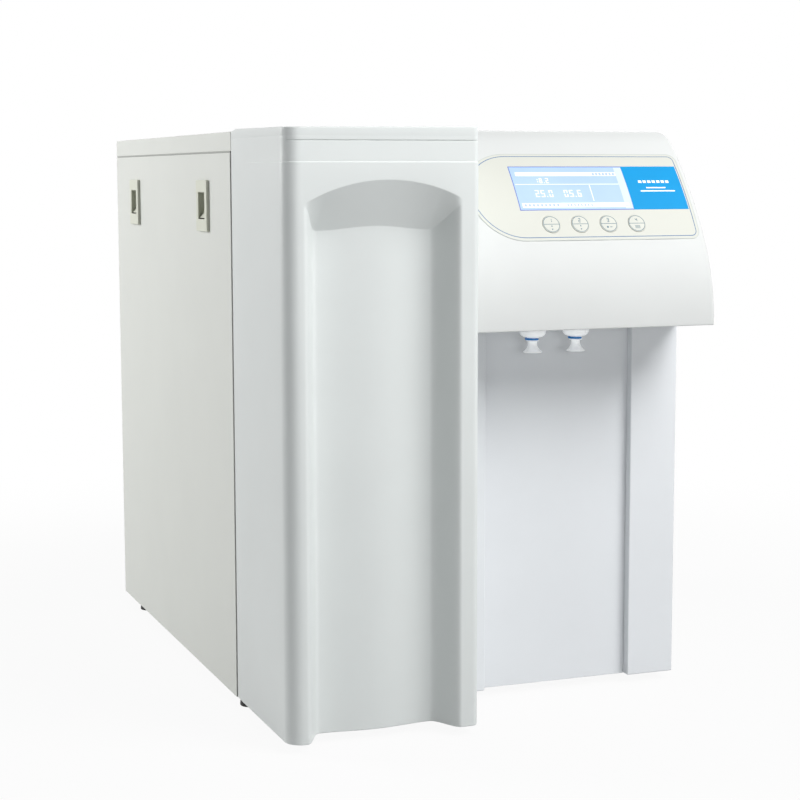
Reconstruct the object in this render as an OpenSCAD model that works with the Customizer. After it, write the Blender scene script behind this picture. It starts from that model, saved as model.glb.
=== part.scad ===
// Benchtop ultrapure water system: a sheet-steel cabinet with a moulded front.
// The front has a scooped column on the left and a dispensing head over an open bay.
// Frame: X right, Y to the rear, Z up, origin under the middle of the object.

/* [Cabinet] */
// Width over both side panels
body_w = 438; // [420:1:480]
// Depth from the column ridges to the rear edge
body_d = 664; // [640:1:720]
// Height from the bench to the top of the front mouldings
body_h = 550; // [540:1:590]
// Height of the rubber feet
foot_h = 8; // [7:0.5:12]
// Depth of the front mouldings, ahead of the cabinet seam
front_d = 167; // [160:1:185]
// Thickness of the sheet steel
sheet = 1.5; // [1:0.1:2]
// Step from the front mouldings down to the cabinet top
cover_step = 2; // [0:0.5:4]
// Height of the side rail that the top cover shows above the side panels
rail_h = 18; // [15:1:24]
// Gap along the top edge of a side panel
panel_gap = 1.5; // [1:0.1:2.5]
// Gap of the upright seam between cabinet and front mouldings
seam_gap = 3; // [2:0.5:4]
// Depth of the recess that holds the rear connections
rear_recess = 14; // [12:1:20]
// Width of the folded edges of the sheet parts
fold_w = 5; // [4:0.5:5.5]
// Wall of the moulded front shells
wall = 3.5; // [3:0.1:4]
// Radius of a rubber foot
foot_r = 10; // [8:0.5:12]
// Distance of the foot centres from the cabinet sides
foot_inset = 12.5; // [12:0.5:16]
// Distance of the front feet behind the cabinet seam
foot_front = -1; // [-2:0.5:4]
// Distance of the rear feet from the rear edge
foot_rear = 71; // [60:1:80]

/* [Column] */
// Width of the column
column_w = 181; // [170:1:190]
// Corner radius at the outer side
column_r = 15; // [12:1:18]
// Corner radius beside the bay
column_bay_r = 6; // [4:0.5:8]
// Depth of the scoop at its edges
scoop_depth = 28; // [20:1:32]
// How far the middle of the scoop floor comes forward again
scoop_bulge = 5; // [0:0.5:8]
// Width of the flank from a ridge down to the scoop floor
scoop_ramp = 20; // [16:1:26]
// Distance of the outer ridge line from the cabinet side
ridge_in = 17; // [16:0.5:22]
// Radius of the arch over the scoop
arch_r = 155; // [150:1:180]
// Distance of the arch top below the object's top
arch_drop = 46.5; // [40:0.5:60]
// Drop of the hood from the arch top down to the scoop floor
hood_drop = 44; // [35:1:55]
// Rise of the hood's lower edge for each millimetre that the scoop is shallower
hood_rise = 0.75; // [0.6:0.05:0.75]
// Height of the separate cap on the column
cap_h = 9; // [7:0.5:12]

/* [Head] */
// Height of the head
head_h = 185; // [170:1:200]
// Distance of the head's nose behind the column ridges
head_back = 28; // [20:1:40]
// Radius of the lower curve of the head's face
lower_r = 174; // [165:1:185]
// Radius of the upper curve of the head's face
upper_r = 370; // [355:1:385]
// Angle above the horizontal where the two curves meet
blend_a = 28; // [27:0.25:28]
// Radius between the face and the flat top
brow_r = 40; // [30:1:45]
// Thickness of the plate that closes the head from below
base_t = 3.5; // [3:0.1:4.5]
// Depth of the bay, from the column ridges to the bay strips
bay_back = 103; // [98:1:110]
// Width of the upright strips beside the bay panel
strip_w = 50.5; // [46:0.5:56]
// How far the bay panel lies behind the strips
bay_recess = 9.5; // [6:0.5:12]

/* [Controls] */
// Length of the control overlay
overlay_w = 231; // [225:1:231]
// Height of the control overlay, measured along the curve
overlay_h = 99; // [95:1:100]
// Thickness of the overlay sheet
overlay_t = 0.4; // [0.3:0.05:0.6]
// Angle above the horizontal of the middle of the overlay
overlay_a = 35.65; // [35.5:0.05:36]
// Distance of the overlay from the outer end of the head
overlay_in = 6.5; // [6:0.5:8]
// Width of the display window
window_w = 119; // [110:1:122]
// Height of the display window
window_h = 51; // [46:1:52]
// Thickness of the display window
window_t = 1.6; // [1.4:0.1:2]
// Distance of the window from the outer end of the overlay
window_in = 63.5; // [60:0.5:66]
// Angle above the horizontal of the middle of the window
window_a = 36.9; // [36.8:0.05:37]
// Diameter of a key
key_d = 17.8; // [16:0.2:18]
// Distance between neighbouring keys
key_pitch = 29.8; // [28:0.2:30]
// Distance of the first key from the outer end of the overlay
key_in = 154.5; // [152:0.5:158]
// Angle above the horizontal of the key row
key_a = 30.6; // [30.5:0.05:30.8]
// How far a key can be pressed
key_travel = 0.6; // [0.4:0.05:0.8]
// Clearance around a key
key_gap = 0.3; // [0.25:0.05:0.4]

/* [Outlets] */
// Distance of the first outlet from the bay side of the head
outlet_x = 85; // [80:1:90]
// Distance between the outlets
outlet_pitch = 45; // [40:1:50]
// Distance of the outlets behind the column ridges
outlet_back = 72; // [65:1:76]
// Radius of the outlet collar under the head
collar_r = 12.5; // [11:0.5:14]
// Radius of the mouth of a spout
spout_r = 9.4; // [8:0.2:10]
// Outer radius of the water tube
tube_r = 3.175; // [3:0.025:3.3]
// Radial clearance of a tube in a push-fit port
port_gap = 0.05; // [0.03:0.01:0.09]

/* [Side access panel] */
// Radius of a hinge rod
rod_r = 2; // [1.8:0.1:2.2]
// Radial clearance of the hinge hooks on their rods
rod_gap = 0.06; // [0.03:0.01:0.09]
// Distance of the hinge axis from the cabinet side
hinge_in = 6; // [5.8:0.1:6.4]
// Height of the hinge axis above the cabinet underside
hinge_up = 10; // [9.5:0.25:11]
// Length of a hinge hook
hook_l = 14; // [12:1:20]
// Distance of the hinge hooks from the front and rear edges of the panel
hinge_end = 90; // [80:1:110]
// Width of a latch plate
latch_w = 40; // [38:1:44]
// Height of a latch plate
latch_h = 50; // [48:1:54]
// How far a latch plate stands proud of the panel
latch_proud = 3; // [2:0.5:4]
// Depth of a latch housing behind the panel
latch_d = 11.5; // [11:0.5:13]
// Height of the latch centres below the object's top
latch_drop = 72; // [68:1:76]
// Distance of the front latch centre behind the cabinet seam
latch_front = 99; // [90:1:110]
// Distance of the rear latch centre behind the cabinet seam
latch_rear = 398; // [370:1:410]
// Travel of a latch pull
latch_travel = 8.5; // [8:0.25:9]
// Width of the finger opening in a latch plate
finger_w = 24; // [22:0.5:26]
// Height of the finger opening in a latch plate
finger_h = 26; // [24:0.5:28]

/* [Water path] */
// Position of the middle rack, right of the centre
rack_x = 10; // [4:1:14]
// Radius of a pretreatment cartridge
filter_r = 33; // [30:0.5:35]
// Height of a pretreatment cartridge
filter_h = 240; // [220:5:250]
// Distance between pretreatment cartridges
filter_pitch = 80; // [78:1:84]
// Radius of the membrane housing
membrane_r = 38; // [34:1:40]
// Length of the membrane housing
membrane_l = 290; // [260:5:295]
// Radius of a polishing cartridge
polish_r = 46; // [42:1:47]
// Height of a polishing cartridge
polish_h = 400; // [360:5:410]
// Radius of the ultraviolet reactor
reactor_r = 26; // [22:1:28]
// Length of the ultraviolet reactor
reactor_l = 290; // [260:5:300]
// Radius of the ultrafilter
ultra_r = 20; // [17:1:22]
// Length of the ultrafilter
ultra_l = 240; // [220:5:260]
// Radius of the pump motor
motor_r = 42; // [38:1:44]
// Length of the pump motor
motor_l = 110; // [100:1:120]
// Radial clearance between a cartridge and its clip
clip_gap = 0.3; // [0.2:0.05:0.4]

/* [Rear connections] */
// Distance of the first rear port from the left side of the cabinet
port_in = 69; // [60:1:75]
// Distance between the rear ports
port_pitch = 40; // [36:1:44]
// Height of the rear ports above the bench
port_z = 80; // [70:1:90]
// Width of the mains inlet flange
inlet_w = 50; // [48:1:54]
// Height of the mains inlet flange
inlet_h = 30; // [28:1:32]
// Distance of the mains inlet centre from the right side of the cabinet
inlet_in = 59; // [54:1:69]
// Height of the mains inlet centre above the bench
inlet_z = 80; // [70:1:90]
// Width of the rocker of the mains switch
rocker_w = 14; // [12:0.5:16]
// Height of the rocker of the mains switch
rocker_h = 22; // [20:0.5:24]
// Angle that the rocker tips through
rocker_tip = 16; // [12:1:18]

/* [Hidden] */
$fn = 64;
hex = 6;
// Running clearance between sliding faces
run = 0.3;
// Clearance between glued or nested parts
nest = 0.05;
// Clearance between fixed sheet parts and the side access panel
door_gap = 0.5;
// Overshoot of a cut past the face that it opens
cut = 1;

// Main planes
half_w = body_w / 2;
front_y = -body_d / 2;
back_y = body_d / 2;
seam_y = front_y + front_d;
cab_top = body_h - cover_step;
floor_z = foot_h + sheet;
roof_z = cab_top - sheet;
side_x = half_w - sheet;
rear_out = back_y - rear_recess;
rear_in = rear_out - sheet;
bulk_in = seam_y + sheet;
seal_w = 1;

// Column
col_x0 = -half_w;
col_x1 = col_x0 + column_w;
col_top = body_h - cap_h;
arch_top = body_h - arch_drop;
hood_z = arch_top - hood_drop;
arch_x = (col_x0 + column_r + col_x1 - column_bay_r) / 2;
scoop_x0 = col_x0 + ridge_in;
scoop_x1 = col_x1 - ridge_in;
front_steps = 32;
corner_steps = 5;
level_gap = 2;
cap_groove = 0.8;

// Head
head_under = body_h - head_h;
nose_y = front_y + head_back;
low_cy = nose_y + lower_r;
low_cz = head_under;
up_cy = low_cy + (upper_r - lower_r) * cos(blend_a);
up_cz = low_cz - (upper_r - lower_r) * sin(blend_a);
brow_z = body_h - brow_r;
brow_y = up_cy - sqrt(pow(upper_r - brow_r, 2) - pow(brow_z - up_cz, 2));
bay_y = front_y + bay_back;
bay_panel_y = bay_y + bay_recess;
bay_panel_t = 3;
bay_x0 = col_x1 + strip_w;
bay_x1 = half_w - strip_w;
bay_lap = 6;

// Controls
overlay_x1 = half_w - overlay_in;
overlay_x0 = overlay_x1 - overlay_w;
overlay_corner = 9;
window_cx = overlay_x1 - window_in - window_w / 2;
window_ledge = 2;
module_t = 8;
module_rim = 2.5;
window_sag = pow(window_h / 2 + module_rim, 2) / (2 * upper_r);
key_r = key_d / 2;
key_proud = 0.5;
key_flange = 1.6;
key_flange_t = 1.2;
key_flange_z = -wall - 0.4;
stem_r = 2.4;
stem_z = -wall - 8;
switch_z = -wall - 6;
switch_w = 8;
switch_t = 5;
switch_bore = switch_z - stem_z + 2 * key_travel;
key_board_h = 24;
key_board_t = 1.6;
key_board_end = 22;
post_gap = 0.6;
post_r = 3;
post_y = 8;
KEYS = [for (i = [0 : 3]) overlay_x1 - key_in + i * key_pitch];

// Outlets
outlet_y = front_y + outlet_back;
OUTLETS = [col_x1 + outlet_x, col_x1 + outlet_x + outlet_pitch];
collar_h = 9.5;
collar_edge = 4.5;
thread_r = 8;
thread_h = 16;
nut_r = 12;
nut_h = 5;
collet_r = 5.4;
collet_lip = 6.2;
collet_gap = 0.1;
collet_seat = 4;
clip_t = 1.8;
clip_rim = 1.2;
clip_arm = 3;
clip_z = head_under - collar_h - clip_t - 0.8;
lip_t = 1.2;
spout_neck = 4;
spout_h = 10.5;
spout_neck_h = 3.5;
spout_mouth_h = 2.5;
spout_edge = 1;
spout_cone_h = 5;
spout_top = clip_z - lip_t - 0.2;
spout_mouth = spout_top - spout_h;
spout_bore = 2.2;

// Hinges of the side access panel
hinge_x = -half_w + hinge_in;
hinge_z = foot_h + hinge_up;
panel_y0 = seam_y + seam_gap;
panel_y1 = back_y;
panel_top = cab_top - rail_h - panel_gap;
HINGES = [panel_y0 + hinge_end, panel_y1 - hinge_end];
hook_r = hinge_in - sheet - 0.1;
ear_r = hinge_in - sheet - door_gap;
ear_gap = 0.4;
pan_x = half_w - max(hinge_in + 1, sheet + fold_w + door_gap);
pan_flange = 20;
rod_l = hook_l + 2 * (ear_gap + sheet);
foot_pad = 2.5;
foot_neck = 5.5;
fold_z = hinge_z + hook_r;

// Latches
LATCHES = [seam_y + latch_front, seam_y + latch_rear];
latch_z = body_h - latch_drop;
latch_skin = 1.5;
latch_rim = 3;
latch_box_w = latch_w / 2 - latch_rim - run;
latch_box_h = latch_h / 2 - latch_rim + run;
latch_cav_w = latch_box_w - latch_skin;
latch_cav_h = latch_box_h - latch_skin;
latch_back = -half_w + latch_d - latch_skin;
latch_face = -half_w - latch_proud + latch_skin;
pull_t = 2;
pull_back = latch_back - run;
pull_front = pull_back - pull_t;
pull_z0 = latch_z - latch_cav_h + latch_travel + run;
pull_lip = 3;
pull_rise = 8;
pull_top = latch_z + 12;
tongue_w = 12;
tongue_t = min(0.8, pull_front + half_w - sheet - fold_w - 0.1);
tongue_grip = 8;
tongue_top = cab_top - rail_h + 4.5;

// Pretreatment cartridges on the shelf of the rack
shelf_z = cab_top - 28;
shelf_t = 2;
head_r = filter_r + 3;
filter_head_h = 34;
filter_x = rack_x - head_r - 10;
filter_y0 = bulk_in + head_r + 14;
shelf_y1 = filter_y0 + 2 * filter_pitch + head_r + 6;
stub_r = 5;
stub_z = shelf_z - 17;
stub_face = 0.1;
dome = 10;
port_h = 12;
FILTERS = [for (i = [0 : 2]) filter_y0 + i * filter_pitch];

// Membrane housing on the floor of the left bay
membrane_x = rack_x - membrane_r - 12;
membrane_up = 62;
membrane_z = floor_z + membrane_r + membrane_up;
membrane_y0 = bulk_in + 8;
membrane_y1 = membrane_y0 + membrane_l;
membrane_wall = 4;
membrane_cap = 16;
membrane_rim = 3;
cradle_t = 14;
cradle_end = 50;
cradle_in = 8;
membrane_port_z = membrane_z + membrane_r + port_h;
MEMBRANE_PORTS = [membrane_y0 + membrane_cap / 2, membrane_y1 - membrane_cap / 2];

// Polishing cartridges at the rear of the left bay
polish_y = membrane_y1 + membrane_cap + polish_r + 12;
polish_x1 = rack_x - polish_r - 8;
polish_x2 = polish_x1 - 2 * polish_r - 6;
polish_z0 = floor_z + 4;
polish_top = polish_z0 + polish_h;
polish_rim = 4;
tray_h = 16;
clamp_up = 340;
clamp_z = polish_z0 + clamp_up;
clamp_t = 6;
polish_port = 14;

// Pump in the right bay
pump_x = rack_x + 100;
pump_z = floor_z + 8 + motor_r;
pump_y0 = bulk_in + 24;
pump_y1 = pump_y0 + motor_l;
pump_head_l = 40;
pump_head_w = 42;
shaft_r = 4;
shaft_gap = 0.06;
rotor_r = 24;
rotor_gap = 4;
motor_wall = 12;
cam_r = 8;
cam_throw = 1.5;
pump_port = 15;
saddle_w = 34;

// Reactor and ultrafilter on the bulkhead
reactor_x = rack_x + 140;
reactor_y = bulk_in + reactor_r + 8;
reactor_z0 = foot_h + 182;
reactor_wall = 2;
reactor_cap = 14;
lamp_r = 8;
lamp_gap = 0.1;
reactor_low = reactor_z0 + 24;
reactor_high = reactor_z0 + reactor_l - 24;
ultra_x = rack_x + 60;
ultra_y = bulk_in + ultra_r + 8;
ultra_z0 = foot_h + 195;
ultra_top = ultra_z0 + ultra_l;
clip_h = 12;
clip_wall = 6;

// Electronics on the rack
rack_face = rack_x + sheet;
supply = [50, 140, 100];
supply_back = 224;
supply_up = 322;
supply_at = [rack_face, bulk_in + supply_back, foot_h + supply_up];
board = [1.6, 160, 120];
board_off = 8;
board_up = 172;
board_at = [rack_face + board_off, bulk_in + supply_back, foot_h + board_up];
standoff_r = 3;
standoff_in = 8;
relay = [14, 18, 22];
relay_in = [18, 20];
relay_pitch = 34;
chip = [4, 36, 36];
chip_in = [50, 66];

// Manifold with its valves and sensors
manifold = [164, 32, 30];
manifold_at = [rack_face + 28, rear_in - 86, floor_z];
manifold_top = floor_z + manifold[2];
valve_w = 26;
valve_h = 24;
coil_r = 12;
coil_h = 34;
VALVES = [20, 62];
cell_at = 104;
gauge_at = 142;
cell_r = 9;
gauge_r = 13;
sensor_h = 46;

// Rear connections
port_x0 = -half_w + port_in;
inlet_x = half_w - inlet_in;
PORTS = [for (i = [0 : 3]) port_x0 + i * port_pitch];
port_body_r = 8;
port_flange_r = 10;
port_flange_t = 4;
port_nose_r = 6.5;
port_nose = 11;
port_inner = 16;
port_depth = 14;
port_hole_r = 2.2;
inlet_lip = 3;
inlet_ear = 8;
inlet_t = 2;
inlet_deep = 26;
socket_in = 2.5;
socket_deep = 16;
pin_pitch = 7;
switch_zc = inlet_z + inlet_h / 2 + 24;
switch_wall = 2.2;
rocker_r = rocker_h / 2;
rocker_pivot = rear_out - 4;
rocker_face = 7;
rocker_back = 6;
rocker_gap = 0.3;
pivot_r = 1.5;
pivot_gap = 0.06;
bezel = 2;
bezel_t = 2;
switch_half_w = rocker_w / 2 + rocker_gap + switch_wall;
switch_half_h = rocker_r + rocker_gap + switch_wall;
switch_deep = 16;
screw_r = 3.5;
screw_t = 1.6;
screw_in = 16;
screw_end = 40;
pin_w = 1;
pin_h = 2;
pin_step = 2;
pin_in = 3;

// Tubes
elbow_half = tube_r + 1.6;
tube_gap = 0.1;
drop_y = bulk_in + elbow_half + 0.5;
low_z = foot_h + 177;
feed_z = membrane_port_z + 12;
permeate_z = membrane_port_z + 11;
riser_x = reactor_x - reactor_r - port_h - 6;
link_z = polish_top + 26;
return_y = polish_y - polish_r - 42;
return_z = ultra_top + 27;
product_x = ultra_x - ultra_r - 20;
product_z = head_under + 35;
port_y = rear_in - port_inner;
turn_y = port_y - 10;
raw_y = port_y - 16;
service_z = manifold_top - 12;
service_mid_z = (service_z + port_z) / 2;
service_x0 = manifold_at[0] + 20;
service_pitch = 25;
pump_port_y = pump_y1 + pump_head_l / 2;
pump_port_z = pump_z + pump_head_w + port_h;
loom_x = 106;
loom_z = roof_z - 41;
loom_r = 13;
RACK_HOLES = [[drop_y, low_z], [MEMBRANE_PORTS[1], feed_z], [MEMBRANE_PORTS[0], permeate_z],
    [polish_y, reactor_high], [return_y, return_z],
    [turn_y, service_z], [turn_y, service_mid_z], [turn_y, port_z]];

// Shared shapes

module box(lo, hi) {
    translate(lo) cube(hi - lo);
}

// A cylinder along Y from one plane to another
module rod_y(x, z, y0, y1, r) {
    translate([x, y1, z]) rotate([90, 0, 0]) cylinder(h = y1 - y0, r = r);
}

// A cylinder along X from one plane to another
module rod_x(y, z, x0, x1, r) {
    translate([x0, y, z]) rotate([0, 90, 0]) cylinder(h = x1 - x0, r = r);
}

// A cylinder along Z from one plane to another
module rod_z(x, y, z0, z1, r) {
    translate([x, y, z0]) cylinder(h = z1 - z0, r = r);
}

// One straight piece of tube between two points
module tube_run(a, b) {
    d = b - a;
    l = norm(d);
    translate(a) rotate([0, acos(d[2] / l), atan2(d[1], d[0])]) cylinder(h = l, r = tube_r);
}

// A water tube through its points, with a square push-fit elbow at each turn
module tube(points) {
    for (i = [0 : len(points) - 2]) tube_run(points[i], points[i + 1]);
    for (i = [1 : len(points) - 2]) translate(points[i]) cube(2 * elbow_half, center = true);
}

// An outline drawn in Y and Z, drawn out along X
module along_x(x0, x1) {
    translate([x0, 0, 0]) rotate([90, 0, 90]) linear_extrude(height = x1 - x0) children();
}

// An outline drawn in X and Z, drawn out along Y
module along_y(y0, y1) {
    translate([0, y1, 0]) rotate([90, 0, 0]) linear_extrude(height = y1 - y0) children();
}

// Places a shape on the face of the head, with local Z pointing out of the face
module at_face(a, x) {
    translate([x, up_cy, up_cz]) rotate([90 - a, 0, 0]) translate([0, 0, upper_r]) children();
}

// The cylinder that the upper part of the head's face belongs to
module face_drum(r, x0, x1) {
    rod_x(up_cy, up_cz, x0, x1, r);
}

// Sheet-steel cabinet

module base_pan() color([0.75, 0.76, 0.75]) {
    difference() {
        union() {
            box([-pan_x, seam_y, foot_h], [pan_x, back_y, floor_z]);
            for (s = [-1, 1]) scale_x(s)
                box([pan_x - sheet, bulk_in, foot_h], [pan_x, rear_in, floor_z + pan_flange]);
            for (y = HINGES, s = [-1, 1]) hinge_ear(y + s * (hook_l / 2 + ear_gap + sheet / 2));
        }
        for (y = HINGES) {
            box([-pan_x - cut, y - hook_l / 2 - ear_gap, floor_z],
                [-pan_x + sheet + cut, y + hook_l / 2 + ear_gap, floor_z + pan_flange + cut]);
            rod_y(hinge_x, hinge_z, y - rod_l, y + rod_l, rod_r + nest / 2);
        }
    }
}

// Mirrors a left or right part
module scale_x(s) {
    mirror([s < 0 ? 1 : 0, 0, 0]) children();
}

// One ear of the pan that holds a hinge rod
module hinge_ear(y) {
    along_y(y - sheet / 2, y + sheet / 2) {
        translate([hinge_x, hinge_z]) circle(r = ear_r);
        translate([hinge_x, floor_z]) square([-pan_x + sheet - hinge_x, hinge_z + ear_r - floor_z]);
    }
}

module hinge_rods() color([0.8, 0.8, 0.82])
    for (y = HINGES) rod_y(hinge_x, hinge_z, y - rod_l / 2, y + rod_l / 2, rod_r);

module front_bulkhead() color([0.78, 0.79, 0.78])
    difference() {
        box([-side_x + door_gap, seam_y, floor_z], [side_x, bulk_in, roof_z]);
        rod_y(product_x, product_z, seam_y - cut, bulk_in + cut, elbow_half + 2);
        rod_y(loom_x, loom_z, seam_y - cut, bulk_in + cut, loom_r);
    }

module rear_panel() color([0.83, 0.84, 0.82])
    difference() {
        box([-side_x + door_gap, rear_in, floor_z], [side_x, rear_out, roof_z]);
        box([-side_x, rear_in - cut, floor_z - cut], [-pan_x, rear_out + cut, fold_z]);
        for (x = PORTS) rod_y(x, port_z, rear_in - cut, rear_out + cut, port_body_r + nest);
        rear_block(inlet_x, inlet_z, inlet_w / 2 - inlet_ear + nest, inlet_h / 2 - inlet_lip + nest,
            rear_in - cut, rear_out + cut);
        rear_block(inlet_x, switch_zc, switch_half_w + nest, switch_half_h + nest,
            rear_in - cut, rear_out + cut);
    }

// A block on the rear panel, given by its centre, half width and half height
module rear_block(x, z, w, h, y0, y1) {
    box([x - w, y0, z - h], [x + w, y1, z + h]);
}

// Sheet rack between the two bays, with the shelf that the pretreatment hangs from
module middle_rack() color([0.72, 0.73, 0.73])
    difference() {
        union() {
            box([rack_x, bulk_in, floor_z], [rack_face, rear_in, roof_z]);
            box([filter_x - head_r - 6, bulk_in + 8, shelf_z], [rack_x, shelf_y1, shelf_z + shelf_t]);
        }
        for (p = RACK_HOLES)
            rod_x(p[0], p[1], rack_x - cut, rack_face + cut, elbow_half + 1);
    }

module top_cover() color([0.85, 0.86, 0.84]) {
    box([-half_w, seam_y, roof_z], [half_w, back_y, cab_top]);
    for (s = [-1, 1]) scale_x(s) {
        box([side_x, seam_y, cab_top - rail_h], [half_w, back_y, cab_top]);
        box([side_x - fold_w, seam_y + seam_gap, cab_top - rail_h],
            [half_w, rear_in - door_gap, cab_top - rail_h + sheet]);
    }
    box([-half_w, back_y - sheet, cab_top - rail_h], [half_w, back_y, cab_top]);
}

// A side panel seen from its outer side: a flat skin with folded edges
module side_skin(bottom) {
    box([side_x, panel_y0, bottom], [half_w, panel_y1, panel_top]);
    box([side_x - fold_w, panel_y0, fold_z + pan_flange], [half_w, panel_y0 + sheet, panel_top]);
    box([side_x - fold_w, panel_y1 - sheet, fold_z + pan_flange], [half_w, panel_y1, panel_top]);
    box([side_x - fold_w, panel_y0, panel_top - sheet], [half_w, rear_in - door_gap, panel_top]);
}

module right_panel() color([0.84, 0.85, 0.83]) {
    side_skin(foot_h);
    box([pan_x + nest, panel_y0, foot_h], [half_w, rear_in, floor_z]);
}

module access_panel() color([0.84, 0.85, 0.83]) {
    difference() {
        scale_x(-1) side_skin(foot_h);
        for (y = LATCHES)
            box([-half_w - cut, y - latch_box_w - run, latch_z - latch_box_h - run],
                [-side_x + cut, y + latch_box_w + run, latch_z + latch_box_h + run]);
    }
    for (y = HINGES) hinge_hook(y);
}

// A hook on the panel that drops over a hinge rod and can be lifted off it
module hinge_hook(y) {
    bore = rod_r + rod_gap;
    difference() {
        along_y(y - hook_l / 2, y + hook_l / 2) translate([hinge_x, hinge_z]) {
            circle(r = hook_r);
            translate([-hinge_in + sheet, 0]) square([hinge_in - sheet, hook_r]);
        }
        rod_y(hinge_x, hinge_z, y - hook_l, y + hook_l, bore);
        box([hinge_x - bore, y - hook_l, hinge_z - hook_r - cut], [hinge_x + bore, y + hook_l, hinge_z]);
    }
}

module panel_seal() color([0.15, 0.15, 0.15])
    box([-side_x + door_gap - seal_w, seam_y + nest, floor_z], [-side_x + door_gap, bulk_in, panel_top]);

module feet() color([0.05, 0.05, 0.05])
    for (s = [-1, 1], y = [seam_y + foot_front, back_y - foot_rear])
        translate([s * (half_w - foot_inset), y, 0]) {
            cylinder(h = foot_h - foot_pad, r = foot_r);
            cylinder(h = foot_h, r = foot_neck);
        }

// Front mouldings

// A smooth step from 0 to 1
function ease(t) = let (c = min(1, max(0, t))) c * c * (3 - 2 * c);
// How far the scoop is down its flanks at x: 0 on the ridges and 1 on its floor
function flank(x) = ease((x - scoop_x0) / scoop_ramp) * ease((scoop_x1 - x) / scoop_ramp);
// How far x is across the floor of the scoop, from 0 to 1
function across(x) = min(1, max(0, (x - scoop_x0 - scoop_ramp) / (scoop_x1 - scoop_x0 - 2 * scoop_ramp)));
// Depth of the scoop behind the ridges
function scoop_at(x) = flank(x) * (scoop_depth - scoop_bulge * pow(sin(180 * across(x)), 2));
// Height of the arch over the scoop
function arch_at(x) = arch_top - arch_r + sqrt(arch_r * arch_r - pow(x - arch_x, 2));
// The hood's lower edge lies lowest where the scoop is deepest, and stays under the arch
function hood_at(x) = min(arch_at(x) - level_gap, hood_z + (scoop_depth - scoop_at(x)) * hood_rise);
function lerp(a, b, t) = a + (b - a) * t;

FRONT_X = [for (i = [0 : front_steps])
    lerp(col_x0 + column_r, col_x1 - column_bay_r, i / front_steps)];
// The outline of the column from its rear left corner round the front to the rear right corner.
// Each entry is X, front Y above the arch, front Y in the scoop, hood height, arch height.
RING = concat(
    [[col_x0, seam_y, seam_y, hood_z, arch_at(FRONT_X[0])]],
    [for (i = [0 : corner_steps - 1]) let (a = 90 * i / corner_steps,
        y = front_y + column_r * (1 - sin(a)))
        [col_x0 + column_r * (1 - cos(a)), y, y, hood_z, arch_at(FRONT_X[0])]],
    [for (x = FRONT_X) [x, front_y, front_y + scoop_at(x), hood_at(x), arch_at(x)]],
    [for (i = [1 : corner_steps]) let (a = 90 * i / corner_steps,
        y = front_y + column_bay_r * (1 - cos(a)))
        [col_x1 - column_bay_r * (1 - sin(a)), y, y, hood_z, arch_at(FRONT_X[front_steps])]],
    [[col_x1, seam_y, seam_y, hood_z, arch_at(FRONT_X[front_steps])]]);

// The outer skin of the column as one closed solid
module column_body() {
    n = len(RING);
    points = concat(
        [for (p = RING) [p[0], p[2], foot_h]],
        [for (p = RING) [p[0], p[2], p[3]]],
        [for (p = RING) [p[0], p[1], p[4]]],
        [for (p = RING) [p[0], p[1], col_top]]);
    faces = concat(
        [[for (i = [0 : n - 1]) i]],
        [[for (i = [0 : n - 1]) 4 * n - 1 - i]],
        [for (k = [0 : 2], i = [0 : n - 1]) let (j = (i + 1) % n)
            [k * n + i, (k + 1) * n + i, (k + 1) * n + j]],
        [for (k = [0 : 2], i = [0 : n - 1]) let (j = (i + 1) % n)
            [k * n + i, (k + 1) * n + j, k * n + j]]);
    polyhedron(points = points, faces = faces);
}

// The inside follows the flanks of the scoop with straight walls
module column_shell() color([0.87, 0.88, 0.87]) {
    near_y = front_y + wall;
    deep_y = near_y + scoop_depth;
    lower = [[col_x0 + wall, seam_y + cut], [col_x0 + wall, front_y + column_r],
        [scoop_x0 - wall, near_y], [scoop_x0 + scoop_ramp - wall, deep_y],
        [scoop_x1 - scoop_ramp + wall, deep_y], [scoop_x1 + wall, near_y],
        [col_x1 - wall, front_y + column_bay_r], [col_x1 - wall, seam_y + cut]];
    upper = [[col_x0 + wall, seam_y + cut], [col_x0 + wall, front_y + column_r],
        [col_x0 + column_r, near_y], [col_x1 - column_bay_r, near_y],
        [col_x1 - wall, front_y + column_bay_r], [col_x1 - wall, seam_y + cut]];
    difference() {
        column_body();
        translate([0, 0, foot_h + wall]) linear_extrude(height = body_h) polygon(lower);
        translate([0, 0, arch_top + wall]) linear_extrude(height = body_h) polygon(upper);
    }
}

// Plan of the column above its scoop, drawn in from its edge
module column_plan(inset) {
    x0 = col_x0 + inset;
    x1 = col_x1 - inset;
    y0 = front_y + inset;
    left = column_r - inset;
    right = max(column_bay_r - inset, nest);
    translate([x0 + left, y0]) square([x1 - right - x0 - left, seam_y - y0]);
    translate([x0, y0 + left]) square([left, seam_y - y0 - left]);
    translate([x0 + left, y0 + left]) circle(r = left);
    translate([x1 - right, y0 + right]) square([right, seam_y - y0 - right]);
    translate([x1 - right, y0 + right]) circle(r = right);
}

module column_cap() color([0.87, 0.88, 0.87])
    difference() {
        union() {
            translate([0, 0, col_top]) linear_extrude(height = cap_groove) column_plan(cap_groove);
            translate([0, 0, col_top + cap_groove])
                linear_extrude(height = cap_h - cap_groove) column_plan(0);
        }
        translate([0, cut, col_top - cut]) linear_extrude(height = cap_h + cut - wall) column_plan(wall);
    }

module bay_frame() color([0.85, 0.88, 0.88]) {
    difference() {
        box([col_x1, bay_y, foot_h], [half_w, seam_y, head_under]);
        box([col_x1 + wall, bay_y + wall, foot_h + wall], [half_w - wall, seam_y + cut, head_under + cut]);
        box([bay_x0, bay_y - cut, foot_h - cut], [bay_x1, bay_panel_y + bay_panel_t, head_under + cut]);
    }
    for (x = [bay_x0 - wall, bay_x1]) box([x, bay_y, foot_h], [x + wall, bay_panel_y, head_under]);
}

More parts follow.
